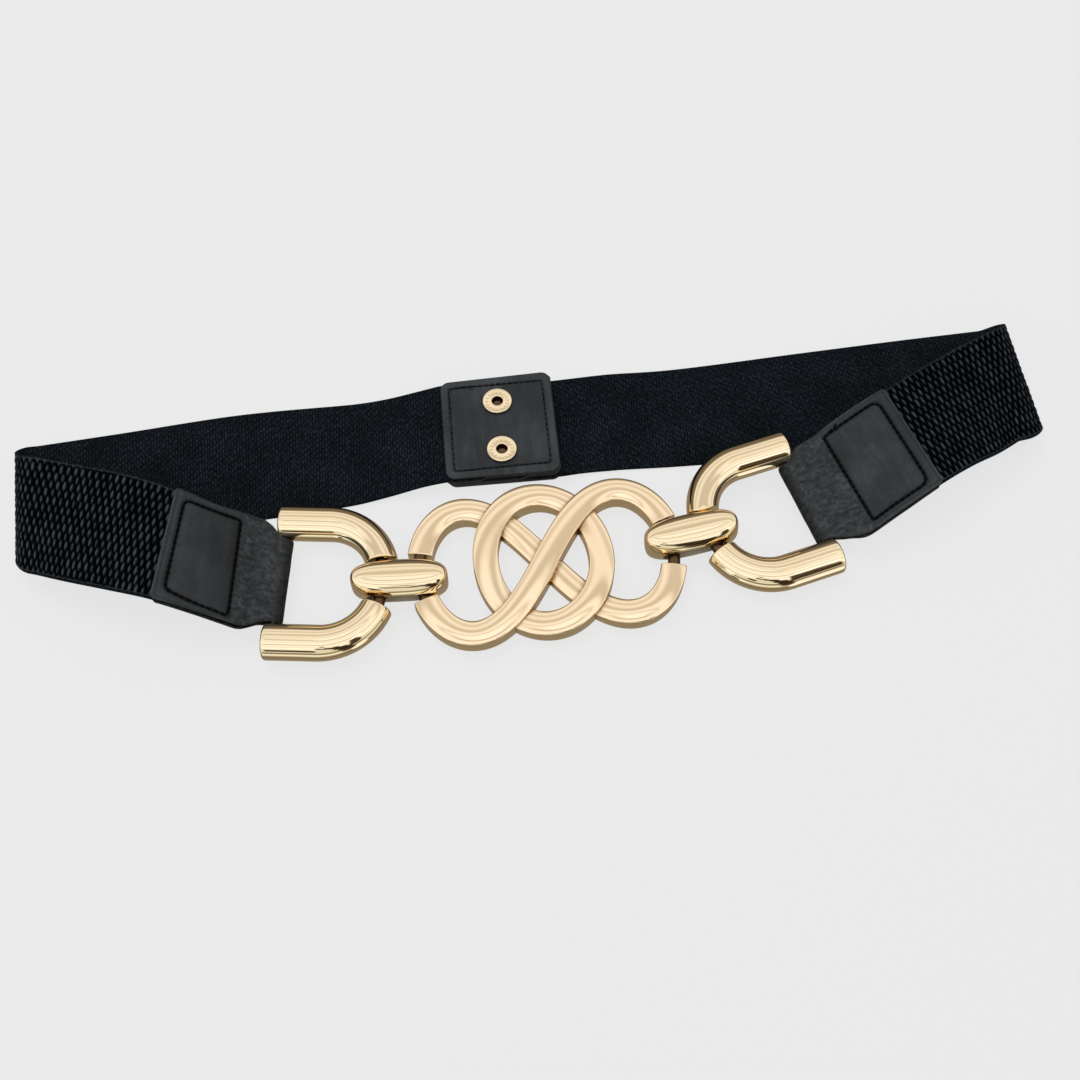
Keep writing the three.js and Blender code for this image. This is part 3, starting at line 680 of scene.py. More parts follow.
def bar_points(side, reach, count):
    """Places along the middle of a horseshoe's bar, in its own frame, as far as reach to each side."""
    across = np.linspace(-reach, reach, count)
    skew = BAR_SKEW[side] * -FAR_LEG[side] * across / SHOE_HALF_SPACING
    along = BAR_INSET - SHOE_LENGTH - BAR_SHIFT[side] - skew
    return np.stack([along, across, np.full(count, TUBE_RADIUS - BAR_DROP)], axis=1)


def front_rows(side):
    """The rows of a front strap, the last of them along the middle of the horseshoe's bar."""
    ends = shoe_places(side, bar_points(side, BAND_WIDTH / 2, 2)).tolist()
    near, far = sorted(ends, key=lambda end: end[1])
    return [*FRONT_ROWS[side], [*near, *far]]


def shoe_places(side, points):
    """Points of a horseshoe's own frame in the plan. Its tilt is about the leg that stays down."""
    tilt = radians(SHOES[side]["tilt"])
    x, y, z = split(np.asarray(points) - [0, SHOE_HALF_SPACING, TUBE_RADIUS])
    y, z = y * cos(tilt) - z * sin(tilt), y * sin(tilt) + z * cos(tilt)
    return placed(x, y + SHOE_HALF_SPACING, z + TUBE_RADIUS, SHOES[side])


def band(side):
    whole = band_track(side)
    fold_at = whole["s"][np.argmax(OUTWARD[side] * (whole["near"] + whole["far"])[:, 0])]
    front_at = fold_at - FOLD_REACH
    length = whole["s"][-1]
    track = at_lengths(whole, np.concatenate([
        np.linspace(0, front_at, int(front_at / BACK_STATION_STEP))[:-1],
        np.linspace(front_at, length, int((length - front_at) / STATION_STEP)),
    ]))
    half_widths = half_widths_of(track)
    half_heights = np.full(len(half_widths), BAND_THICK / 2)
    across = np.linspace(-1, 1, OUTER_PLACES)
    inward = np.linspace(1, -1, INNER_PLACES)

    def rise(s, w):
        from_edge = half_widths[:, None] - np.abs(w)
        bumps = weave(s, -w) * smooth_step(from_edge, 0.6, 1.5)
        return (bumps - 1) * WEAVE_HEIGHT * smooth_step(from_edge, 0.7, 1.1)

    rings, w = sheet_rings(track, BAND_THICK / 2, half_widths, half_heights, across, rise, inward)
    piece = loft(f"woven_band_{side}", rings, sheet_uv(track, w))
    # The rise attribute is the bump height, which the bumpy face turns into painted highlight and shade.
    height = np.zeros(w.shape)
    height[:, :len(across)] = rise(track["s"][:, None], w[:, :len(across)]) / WEAVE_HEIGHT + 1
    store(piece, "rise", height * BUMP_HIGHLIGHT[side])
    inner = np.tile(np.arange(w.shape[1]) >= len(across) - 1, len(rings) - 1)
    coat(piece, [WOVEN_OUTER, WOVEN_INNER], np.append(inner, [True, True]))
    dress(piece, f"elastic_{side}")


# The leather tabs on the buckle.

STITCH = {"pitch": 2.1, "length": 2.0, "stations": 7, "sides": 8}
# Each stitched box has its round corners at the free end of the tab and sharp ones by the bar.
# Its spread is the share by which it is wider by the bar than at its free end.
TAB_BOX = {
    "left": {"from": 3.7, "to": 23.4, "middle": 0.4, "half": 15.8, "round": 1.9, "sharp": 0.4,
             "spread": 0.065},
    "right": {"from": 4.2, "to": 26.1, "middle": 0.0, "half": 16.9, "round": 2.8, "sharp": 0.4,
              "spread": 0.0},
}
# The leather's thickness, its round corners and edges, and the steps of its mesh: coarse ones, fine ones
# as far as reach from a stitch line, and the first one underneath, which comes past the upper layer.
# Then how deep its stitches are bedded and sink at their ends, and the thread's radius.
TAB_LEATHER = {
    "thick": LEATHER_THICK, "corner": 1.4, "edge": 0.35, "coarse": 0.6, "fine": 0.22, "reach": 1.2,
    "first_under": 1.0, "past": 8, "bed": 0.22, "sink": 0.35, "thread": 0.4,
}
CROSS_STEP = 0.6
UNDER_STEP = 1.2
# How far before the bar the leather begins to turn.
TURN_START = 3.1
# How much painted light pales the padded box towards its free end.
PAD_LIGHT_SLOPE = {"left": 2.4, "right": 0.6}
# How much paler the padded box and the pebbled strip are than the border.
PAD_TONE = {"left": -0.3, "right": 0.25}
STRIP_TONE = {"left": 0.4, "right": 0.8}
# A second row of stitches that fastens the thread at a corner of the right tab, from s, w to s, w.
TAB_TACKS = {"left": [], "right": [[(26.6, 16.4), (19.6, 18.2)]]}


def narrowed(places, taper):
    """The share of a tab's full half width at each row, with its corners softened."""
    window = np.ones(9) / 9
    halves = np.interp(places, *zip(*taper))
    return (np.convolve(np.pad(halves, 4, mode="edge"), window, "valid") / (BAND_WIDTH / 2))[:, None]


def tab_track(side):
    """The middle surface of a leather tab: the upper layer, the turn round the bar, the lower layer."""
    places = np.linspace(TAB_OUTER_ROW, BAR_ROW, SAMPLES["tab"])
    near, far = edge_lines(front_rows(side), places)
    middle = (near + far) / 2
    up = unit(np.cross(np.gradient(middle, axis=0), far - near))
    up *= np.sign(up[:, 2:])
    near = middle + (near - middle) * narrowed(places, TAPER_NEAR[side])
    far = middle + (far - middle) * narrowed(places, TAPER_FAR)
    on_band = BAND_THICK / 2 + GAP + LEATHER_THICK / 2
    on_bar = BAR_RADIUS[side] + GAP + LEATHER_THICK / 2
    free = np.clip((places - PINCH_ROW) / (BAR_ROW - PINCH_ROW), 0, 1)
    lift = (on_band + (on_bar - on_band) * free ** 2 - TAB_PINCH * np.sin(pi * free))[:, None]
    middle = (near + far) / 2
    bar_way = unit(far[-1] - near[-1])
    ahead = middle[-1] - middle[-2]
    ahead = ahead - (ahead @ bar_way) * bar_way
    ahead = unit(ahead - (ahead @ up[-1]) * up[-1])
    angles = np.linspace(0, pi, SAMPLES["turn"])[1:-1, None]
    turn = up[-1] * np.cos(angles) + ahead * np.sin(angles)
    near, far = (np.vstack([line + up * lift, line[-1] + turn * on_bar, (line - up * lift)[::-1]])
                 for line in (near, far))
    s = lengths_along((near + far) / 2)
    normal = np.vstack([up, turn, -up[::-1]])
    return {"s": s, "near": near, "far": far, "normal": normal, "upper": s[len(places) - 1]}


def straightened(s, w, box, way):
    """Cross distances with a box's spread taken out, for way -1, or put in. Its far side is straight."""
    spread = 1 + box["spread"] * np.clip((s - box["from"]) / (box["to"] - box["from"]), 0, 1)
    straight = box["middle"] + box["half"]
    return straight - (straight - w) * spread ** way


def box_distance(s, w, box):
    """How far outside a rounded stitch line a place is, in millimetres."""
    middle = (box["from"] + box["to"]) / 2
    w = straightened(s, w, box, -1)
    corner = np.where(s < middle, box["round"], box["sharp"])
    ds = np.abs(s - middle) - (box["to"] - box["from"]) / 2 + corner
    dw = np.abs(w - box["middle"]) - box["half"] + corner
    outside = np.hypot(np.maximum(ds, 0), np.maximum(dw, 0))
    return outside + np.minimum(np.maximum(ds, dw), 0) - corner


def line_mark(distance, width):
    """1 on a line, falling off to both sides."""
    return np.exp(-(distance / width) ** 2)


def crease(s, w, scale, seed):
    """Soft noise at places on a sheet in millimetres."""
    places = zip((s * scale + seed).ravel().tolist(), (w * scale).ravel().tolist())
    return np.array([noise.noise(Vector((x, y, 0))) for x, y in places]).reshape(s.shape)


def tab_rise(s, w, box, upper):
    """The pad, groove, pleats and hem of a tab's upper layer, and the folds of its pebbled strip."""
    away = box_distance(s, w, box)
    pad = 0.3 * smooth_step(-away, 0.5, 3.0)
    groove = -0.4 * line_mark(away, 0.7)
    upper_only = 1 - smooth_step(s, upper - 4, upper)
    strip = smooth_step(s, box["to"] + 0.5, box["to"] + 4)
    folds = crease(s, w * 0.5, 0.42, 3.0) * 0.34 * strip
    pleats = crease(s, w * 0.14, 0.38, 9.0) * 0.3 * smooth_step(-away, 1.0, 3.5)
    hem = 0.1 * (smooth_step(away, 0.6, 1.6) - line_mark(away - 2.1, 0.3)) * (1 - strip)
    return (pad + groove + pleats + hem) * upper_only + folds * (0.3 + 0.7 * upper_only)


def tab_tone_and_light(side, s, w, away):
    """How much paler a tab is: lines of wear and painted sheen by its edge, a pressed one beside them, and a
    painted light slope over the pad.
    """
    from_edge = np.minimum(s, BAND_WIDTH / 2 - np.abs(w))
    worn_sheen = 1.6 * line_mark(from_edge - 0.35, 0.3) + 0.8 * line_mark(from_edge - 1.9, 0.3)
    border = (worn_sheen - 1.3 * line_mark(from_edge - 1.15, 0.28)) * smooth_step(away, 0.3, 1.0)
    box = TAB_BOX[side]
    share = (s - box["from"]) / (box["to"] - box["from"])
    # Painted light: the pad pales towards its free end.
    pad = (PAD_LIGHT_SLOPE[side] * (0.45 - share) + PAD_TONE[side]) * smooth_step(-away, 0.3, 1.5)
    strip = STRIP_TONE[side] * smooth_step(s, box["to"] + 0.3, box["to"] + 1.2)
    return border * (s < box["to"]) + pad + strip


def rounding(radius, from_end, most=1.0):
    """How far a round edge falls back, by the distance from its end. most is the share of it in use."""
    depth = np.clip(radius - from_end, 0, radius * most)
    return radius - np.sqrt(radius ** 2 - depth ** 2)


def end_stations(s, ends, corner, edge):
    """Adds close stations at the ends of a sheet, for its round corners and edges."""
    angles = np.linspace(0, pi / 2, 9)
    close = np.concatenate([corner * (1 - np.cos(angles)), edge * (1 - np.cos(angles))])
    added = [end + way * close for end in ends for way in (-1, 1)]
    far_off = np.min([np.abs(s - end) for end in ends], axis=0) > corner
    every = np.unique(np.round(np.concatenate([s[far_off], *added]), 4))
    every = every[(every >= ends[0]) & (every <= ends[-1])]
    return every[np.append(True, np.diff(every) > 0.004)]


def leather_sheet(name, whole, width, box, kind, mark, upper, fold, rise):
    """A folded leather piece, in fine steps by its mark and stitch lines as far as its upper layer goes.
    It has round corners at both free ends and at the fold."""
    length = whole["s"][-1]
    marks = [0, box["from"], box["to"], mark]
    stations = graded(0, length, kind["coarse"], kind["fine"], marks, kind["reach"])
    shown = stations[stations < upper + kind["past"]]
    stations = np.concatenate([shown, np.arange(shown[-1] + kind["first_under"], length, UNDER_STEP)])
    half = width / 2
    lines = [(box["middle"] + way * box["half"]) / half for way in (-1, 1)]
    across = graded(-1, 1, CROSS_STEP / half, kind["fine"] / half, lines, kind["reach"] / half)
    corner, edge = kind["corner"], kind["edge"]
    ends = [0.0, fold, length]
    track = at_lengths(whole, end_stations(stations, ends, corner, edge))
    s = track["s"]
    half_widths = half_widths_of(track) - rounding(corner, np.min([np.abs(s - end) for end in ends], axis=0))
    half_heights = kind["thick"] / 2 - rounding(edge, np.minimum(s, length - s), 0.9)
    rings, w = sheet_rings(track, edge, half_widths, half_heights, across, rise, across[::-1])
    return loft(name, rings, sheet_uv(track, w)), np.broadcast_to(s[:, None], w.shape), w


def box_line(box):
    """Places along a rounded stitch line, a stitch apart."""
    line = []
    for outward_s, outward_w, start in ((1, 1, 0), (-1, 1, 90), (-1, -1, 180), (1, -1, 270)):
        corner = box["sharp"] if outward_s > 0 else box["round"]
        s = (box["to"] if outward_s > 0 else box["from"]) - outward_s * corner
        w = box["middle"] + outward_w * (box["half"] - corner)
        for angle in np.radians(np.linspace(start, start + 90, 7)):
            line.append((s + corner * cos(angle), w + corner * sin(angle)))
    line = np.array([*line, line[0]])
    line[:, 1] = straightened(line[:, 0], line[:, 1], box, 1)
    return stitch_places(line)


def stitch_places(line):
    """A line divided into whole stitches."""
    line = np.array(line)
    lengths = lengths_along(line)
    even = np.linspace(0, lengths[-1], int(round(lengths[-1] / STITCH["pitch"])) + 1)
    return read_off(even, lengths, line)


def stitch_run(whole, first, second, kind):
    """One stitch between two places on a sheet, arched a little, with its ends in the leather."""
    share = np.linspace(-1, 1, STITCH["stations"])
    half = (second - first) / 2 * STITCH["length"] / STITCH["pitch"]
    s, w = ((first + second) / 2 + np.outer(share, half)).T
    here = at_lengths(whole, s)
    side = unit(here["far"] - here["near"])
    height = kind["thick"] / 2 - kind["bed"] - kind["sink"] * np.abs(share) ** 3
    return (here["near"] + here["far"]) / 2 + side * w[:, None] + here["normal"] * height[:, None]


def thread_piece(name, whole, lines, kind):
    """The stitches along lines on a sheet, as one mesh of short round runs that sink at their ends."""
    sides, spans = STITCH["sides"], STITCH["stations"] - 1
    rows, columns = skin(sides, spans)
    end = np.arange(sides)
    own = [*(rows * sides + columns % sides), end[::-1], end + spans * sides]
    size = kind["thread"] * np.sqrt(np.clip(1 - np.linspace(-1, 1, spans + 1) ** 6, 0.12, 1))
    vertices = []
    faces = []
    for line in lines:
        for first, second in zip(line, line[1:]):
            faces += [face + len(vertices) for face in own]
            run = stitch_run(whole, first, second, kind)
            vertices += [*swept(run, size, sides).reshape(-1, 3)]
    piece = mesh_object(name, to_frame(vertices), faces)
    return dress(coat(piece, [THREAD]), None)


def tab(side):
    whole = tab_track(side)
    box = TAB_BOX[side]
    upper = whole["upper"]
    fold = upper + pi / 2 * (BAR_RADIUS[side] + GAP + LEATHER_THICK / 2)
    piece, s, w = leather_sheet(f"stitched_tab_{side}", whole, BAND_WIDTH, box, TAB_LEATHER,
                                upper - TURN_START, upper, fold, lambda s, w: tab_rise(s, w, box, upper))
    away = box_distance(s, w, box)
    turn_shade = smooth_step(s, upper - 1.6, upper + 1.6)
    store(piece, "grain", 0.15 + 0.85 * smooth_step(s, box["to"] - 0.5, box["to"] + 1.5))
    # Painted shade where the leather turns down round the bar, carried in the seam attribute.
    store(piece, "seam", np.maximum(line_mark(away, 0.75) * (s < upper), 0.7 * turn_shade))
    store(piece, "rim", tab_tone_and_light(side, s, w, away) * (s < upper))
    dress(coat(piece, [LEATHER]), f"leather_tab_{side}")
    lines = [box_line(box), *map(stitch_places, TAB_TACKS[side])]
    threads = thread_piece(f"tab_thread_{side}", whole, lines, TAB_LEATHER)


# The gilt hardware.

# How finely it is divided: corners round each piece, and stations along it.
TUBE_SIDES = 72
ROD_SIDES = 32
BAR_STATIONS = 9
LINK_SIDES = 96
LINK_STATIONS = 121
RING_STATIONS = 240
NECK_STATIONS = 25


def shoe_line(lengths):
    """The middle line of a horseshoe in its own frame and its way, by the length from its middle."""
    straight = SHOE_HALF_SPACING - SHOE_BEND
    reach = np.abs(lengths)
    sign = np.where(lengths < 0, -1.0, 1.0)
    angle = np.clip((reach - straight) / SHOE_BEND, 0, pi / 2)
    x = SHOE_BEND * (np.cos(angle) - 1) - np.maximum(reach - straight - SHOE_BEND * pi / 2, 0)
    y = np.minimum(reach, straight) + SHOE_BEND * np.sin(angle)
    points = np.stack([x, y * sign, np.full(x.shape, TUBE_RADIUS)], axis=1)
    return points, np.stack([-np.sin(angle) * sign, np.cos(angle), np.zeros(x.shape)], axis=1)


def cut_length(cut_at):
    """Where a leg is cut, as a length from the middle of the bend."""
    straight = SHOE_HALF_SPACING - SHOE_BEND
    return straight + SHOE_BEND * asin((cut_at - straight) / SHOE_BEND)


def shoe_profile(cut_at, trim):
    """Lengths from the middle of the bend out to a leg's end, with the tube's radius at each."""
    cut = cut_length(cut_at)
    bend_end = SHOE_HALF_SPACING - SHOE_BEND + SHOE_BEND * pi / 2
    end = bend_end + SHOE_LENGTH - SHOE_BEND - trim
    profile = [(length, NECK_RADIUS) for length in np.linspace(0, cut, 14)]
    profile += arc(cut + CUT_ROUND, TUBE_NECK_RADIUS - CUT_ROUND, CUT_ROUND, 180, 90, 7)
    for length in np.linspace(cut + CUT_ROUND, bend_end, 60)[1:]:
        share = (length - cut) / (bend_end - cut)
        profile.append((length, TUBE_NECK_RADIUS + (TUBE_RADIUS - TUBE_NECK_RADIUS) * share))
    profile += [(length, TUBE_RADIUS) for length in np.linspace(bend_end, end - END_ROUND, 12)[1:]]
    profile += arc(end - END_ROUND, TUBE_RADIUS - END_ROUND, END_ROUND, 90, 0, 7)[1:]
    low = end - END_SINK
    return [*profile, (end, TUBE_RADIUS - END_RIM), (low, TUBE_RADIUS - END_RIM - 0.5), (low, 1.0)]


def against_link(side, rings, lengths, along):
    """Rings of a horseshoe, with the cut end of one leg shaped to the round side of the link."""
    way = FAR_LEG[side]
    cut = cut_length(LEG_CUTS[side][max(way, 0)])
    near = np.clip(1 - (way * lengths - cut) / CUT_REACH, 0, 1) * (way * lengths > cut - 0.001)
    cut_ring = rings[np.argmin(np.abs(way * lengths - cut))]
    y, z = in_link(side, shoe_places(side, cut_ring))[1:]
    half = LINK["height"] / 2
    power = 2 / LINK_SQUARENESS
    inside = np.clip(1 - np.abs((z - half) / half) ** power, 0, 1)
    push = LINK["width"] / 2 * inside ** (1 / power) + CUT_GAP - np.abs(y)
    return rings + way * along[:, None] * (near[:, None] * push)[..., None]


def horseshoe(side):
    low, high = (np.array(shoe_profile(cut, LEG_TRIM[side])) for cut in LEG_CUTS[side])
    lengths, radii = np.concatenate([low[::-1] * [-1, 1], high[1:]]).T
    points, along = shoe_line(lengths)
    across = np.stack([along[:, 1], -along[:, 0], np.zeros(len(along))], axis=1)
    rings = round_rings(points, across, np.broadcast_to([0.0, 0.0, 1.0], along.shape), radii, TUBE_SIDES)
    tube = loft(f"gilt_horseshoe_{side}", shoe_places(side, against_link(side, rings, lengths, along)))
    # The thin neck rings inside the link get painted shade.
    thin = (radii[1:] <= NECK_RADIUS) & (radii[:-1] <= NECK_RADIUS) & (np.abs(lengths[1:]) < NECK_HALF + 1)
    coat(tube, [POLISHED, GILT_PAINTED_SHADE], np.append(np.repeat(thin, TUBE_SIDES), [False, False]))
    points = bar_points(side, SHOE_HALF_SPACING, BAR_STATIONS)
    rings = swept(points, np.full(BAR_STATIONS, BAR_RADIUS[side]), ROD_SIDES)
    bar = loft("bar", shoe_places(side, rings))
    dress(joined(tube, [bar]), f"horseshoe_{side}", 40)


def link_places(side, x, y, z):
    link = LINKS[side]
    pitch = radians(link["pitch"])
    x, z = x * cos(pitch) + z * sin(pitch), -x * sin(pitch) + z * cos(pitch)
    return placed(x, y, z + link["lift"], link)


def in_link(side, points):
    """Plan places in the own frame of a link."""
    link = LINKS[side]
    pitch, turn = radians(link["pitch"]), radians(link["turn"])
    x, y, z = split(points - [link["x"], link["y"], link["lift"]])
    x, y = x * cos(turn) + y * sin(turn), -x * sin(turn) + y * cos(turn)
    return x * cos(pitch) - z * sin(pitch), y, x * sin(pitch) + z * cos(pitch)


def squared(value):
    return np.sign(value) * np.abs(value) ** LINK_SQUARENESS


def link(side):
    share = 0.99999 * np.sin(pi * (np.linspace(0, 1, LINK_STATIONS)[:, None] - 0.5))
    size, rise = ((1 - np.abs(share) ** power) ** (1 / power) for power in LINK_BLUNTNESS)
    angles = circle(LINK_SIDES)
    y = LINK["width"] / 2 * size * squared(np.cos(angles))
    z = LINK["height"] / 2 * (1 + rise * squared(np.sin(angles)))
    body = loft(f"gilt_link_{side}", link_places(side, LINK["length"] / 2 * share, y, z))
    coat(body, [POLISHED, CAST_GILT])
    radius = (LINK["slot_high"] - LINK["slot_low"]) / 2
    half = LINK["slot_length"] / 2 - radius
    turn = np.linspace(-pi / 2, pi / 2, 25)
    x = np.concatenate([half + radius * np.cos(turn), -half - radius * np.cos(turn)])
    z = np.concatenate([radius * np.sin(turn), -radius * np.sin(turn)]) + LINK["slot_low"] + radius
    y = np.array([[-LINK["width"]], [LINK["width"]]])
    slot = coat(loft("slot", link_places(side, x, y, np.stack([z, z]))), [POLISHED, CAST_GILT], 1)
    dress(joined(body, [slot], "DIFFERENCE"), f"link_{side}", 35)


def strand_section(height, inset):
    """Half of a strand's section from the middle of its face to the middle of its back."""
    half = STRAND["width"] / 2 - inset
    steep = 90 - STRAND["face_slope"]
    shoulder, back_width, back_height = STRAND["shoulder"], STRAND["back_width"], STRAND["back_height"]
    radius = (half - shoulder) / cos(radians(steep)) + shoulder
    corners = arc(0, height - inset - radius, radius, 90, steep, 13)
    low = corners[-1][1] - shoulder * sin(radians(steep))
    corners += arc(half - shoulder, low, shoulder, steep, 0, 6)[1:]
    corners.append((half, (low + inset + back_height) / 2))
    corners += [(half - back_width * (1 - cos(a)), inset + back_height * (1 - sin(a)))
                for a in np.linspace(0, pi / 2, 9)]
    return np.array(corners)


def strand(name, points, heights, insets, endless=False):
    if endless:
        along = unit(np.roll(points, -1, axis=0) - np.roll(points, 1, axis=0))
    else:
        along = unit(np.gradient(points, axis=0))
    halves = np.stack([strand_section(height, inset) for height, inset in zip(heights, insets)])
    across, z = split(np.concatenate([halves, (halves * [-1, 1])[:, -1:0:-1]], axis=1))
    x = points[:, :1] - along[:, 1:] * across
    y = points[:, 1:] + along[:, :1] * across
    return loft(name, placed(x, y, z, KNOT), endless=endless)


def eight_point(angle):
    roundness = EIGHT["roundness"]
    x = EIGHT["half_length"] * (np.cos(angle) + roundness * np.cos(3 * angle)) / (1 + roundness)
    return np.stack([x, EIGHT["half_width"] * np.sin(2 * angle)], axis=1)


def eight_strand(name, start, rise, cuts):
    """Half of the figure of eight, from one neck to the other, with the edges of its cut ends rounded."""
    first_cut, last_cut = (asin(cut / EIGHT["half_width"]) / 2 for cut in cuts)
    inner = np.linspace(first_cut, pi - last_cut, 241)
    step = np.linalg.norm(np.diff(eight_point(start + inner[:2]), axis=0))
    per_mm = (inner[1] - inner[0]) / step
    close = STRAND_BEVEL * (1 - np.cos(np.linspace(0, pi / 2, 5))) * per_mm
    first = inner[0] + close
    last = inner[-1] - close
    angle = np.concatenate([first, inner[(inner > first[-1]) & (inner < last[-1])], last[::-1]])
    insets = rounding(STRAND_BEVEL, np.minimum(angle - inner[0], inner[-1] - angle) / per_mm)
    share = np.minimum(1, np.abs(angle - pi / 2) / CROSSING_SPAN)
    heights = STRAND_HEIGHT + rise * np.cos(share * pi / 2) ** 2
    return strand(name, eight_point(start + angle), heights, insets)


def knot():
    over = coat(eight_strand("gilt_knot", 0.0, OVER_RISE, STRAND_CUTS["over"]), [SATIN, GILT_PAINTED_SHADE])
    under = eight_strand("under", pi, -UNDER_DROP, STRAND_CUTS["under"])
    angle = circle(RING_STATIONS)
    oval = np.stack([RING["x"] + RING["half_length"] * np.cos(angle),
                     RING["y"] + RING["half_width"] * np.sin(angle)], axis=1)
    heights = STRAND_HEIGHT - RING_SWING * np.sin(2 * angle)
    ring = strand("ring", oval, heights, np.zeros(RING_STATIONS), endless=True)
    necks = []
    reach = asin((NECK_HALF + NECK_BITE) / EIGHT["half_width"]) / 2
    for start in (0.0, pi):
        line = eight_point(start + np.linspace(-reach, reach, NECK_STATIONS))
        points = np.column_stack([line, np.full(NECK_STATIONS, KNOT_NECK_HEIGHT)])
        rings = swept(points, np.full(NECK_STATIONS, NECK_RADIUS), ROD_SIDES)
        # The necks inside the links get painted shade.
        necks.append(coat(loft("neck", placed(*split(rings), KNOT)), [SATIN, GILT_PAINTED_SHADE], 1))
    dress(joined(over, [under, ring, *necks]), "knot", 35)


# The closure at the back.

PATCH_BOX = {"from": 2.8, "to": 35.6, "middle": 0.0, "half": 16.9, "round": 0.6, "sharp": 0.6, "spread": 0.0}
PATCH_LEATHER = {
    "thick": CLOSURE_LEATHER, "corner": 3.0, "edge": 0.42, "coarse": 0.7, "fine": 0.2, "reach": 1.0,
    "first_under": 0.9, "past": 4, "bed": 0.24, "sink": 0.3, "thread": 0.2,
}
PATCH_FLARE = 1.5
# Rows of stitches that fasten the thread by the far side of the upper tab, from s, w to s, w.
PATCH_TACKS = [
    [(5.8, 16.9), (13.2, 17.9)], [(7.0, 17.3), (12.0, 17.0)], [(9.4, 16.3), (12.0, 15.4)],
    [(17.0, 18.7), (21.2, 16.9)], [(17.4, 17.5), (20.6, 17.9)],
]
OUTER_TAB_TOP = OUTER_TAB_LOW + 2 * CLOSURE_LEATHER + GAP
INNER_TAB_LOW = INNER_TAB_TOP - 2 * CLOSURE_LEATHER - GAP
SNAP_EDGE = 0.25
SOCKET_FLOOR = OUTER_TAB_TOP + GAP
CUP_FLOOR = SOCKET_FLOOR + GAP
KNOB_LOW = CUP_FLOOR + GAP
SOCKET_RIM = SOCKET_FLOOR + 0.9
DISC_LOW = SOCKET_RIM + GAP
DISC_TOP = INNER_TAB_LOW - GAP
RING_LOW = INNER_TAB_TOP + GAP
RING_TOP = RING_LOW + 0.7
HOLE_FLOOR = DISC_LOW + 0.6
CAP_HEIGHT = 0.7
LAYER_STATIONS = 160
HOLE_SIDES = 64
# From below the closure to above it.
HOLE_HEIGHTS = [[-5.0], [20.0]]
RING_DOTS = {"count": 16, "at": 3.55, "size": 0.5, "height": 0.22}


def closure_track(plain, step, turned, flare):
    """A folded tab: the plain layer from its open end to the fold, then the layer that leaves a pocket."""
    radius = (CLOSURE_LEATHER + GAP) / 2
    half = CLOSURE["half_length"]
    end = -half + radius + CLOSURE_LEATHER / 2
    flat = np.zeros(LAYER_STATIONS)
    plain_u = np.linspace(half, end, LAYER_STATIONS)
    other_u = plain_u[::-1]
    angles = np.linspace(0, pi, 25)[1:-1]
    full = half - POCKET_DEPTH
    other_z = 2 * radius + (BAND_THICK + GAP) * smooth_step(other_u, full - POCKET_SLOPE, full)
    way = -1 if turned else 1
    u = way * np.concatenate([plain_u, end - radius * np.sin(angles), other_u])
    z = plain + step * np.concatenate([flat, radius * (1 - np.cos(angles)), other_z])
    normal_u = way * np.concatenate([flat, -np.sin(angles), flat])
    normal_z = step * np.concatenate([flat - 1, -np.cos(angles), flat + 1])
    near = placed(u, -CLOSURE["width"] / 2, z, CLOSURE)
    far = placed(u, CLOSURE["width"] / 2 + flare * (u / half + 1) / 2, z, CLOSURE)
    normal = placed(normal_u, 0, normal_z, {"x": 0, "y": 0, "turn": CLOSURE["turn"]})
    return {"s": lengths_along((near + far) / 2), "near": near, "far": far, "normal": normal}


def snap_rings(side, radius, heights, count):
    """Rings about the upright axis of a snap."""
    angles = circle(count)
    y = side * SNAP_SPACING / 2 + radius * np.sin(angles)
    return placed(radius * np.cos(angles), y, heights, CLOSURE)


def snap_holes(piece, radius):
    heights = np.broadcast_to(HOLE_HEIGHTS, (2, HOLE_SIDES))
    radii = np.full((2, 1), radius)
    cutters = [loft("hole", snap_rings(side, radii, heights, HOLE_SIDES)) for side in (-1, 1)]
    return joined(piece, cutters, "DIFFERENCE")


def patch_rise(s, w):
    away = box_distance(s, w, PATCH_BOX)
    layer = CLOSURE["half_length"] * 2
    sunk = -0.16 * smooth_step(-away, 0.0, 0.8)
    soft = crease(s, w, 0.16, 5.0) * 0.2
    return (sunk - 0.3 * line_mark(away, 0.42) + soft) * (1 - smooth_step(s, layer - 1.5, layer))


def patch(name, node, plain, step, turned, hole, flare=0.0, tacks=()):
    """A folded tab of the closure. flare is how much wider it is at its right end, and tacks are
    further rows of stitches."""
    whole = closure_track(plain, step, turned, flare)
    fold_at = 2 * CLOSURE["half_length"] - CLOSURE_LEATHER / 2
    piece, s, w = leather_sheet(name, whole, CLOSURE["width"], PATCH_BOX, PATCH_LEATHER, 0, fold_at,
                                fold_at, patch_rise)
    away = box_distance(s, w, PATCH_BOX)
    # A darker pressed line with painted shade in the groove along the stitches.
    store(piece, "seam", line_mark(away, 0.4) * (s < fold_at))
    store(piece, "rim", smooth_step(away, 0.2, 0.8) * (s < fold_at))
    piece = dress(snap_holes(coat(piece, [LEATHER]), hole), node, 60)
    lines = [box_line(PATCH_BOX), *map(stitch_places, tacks)]
    threads = thread_piece(f"{name}_thread", whole, lines, PATCH_LEATHER)


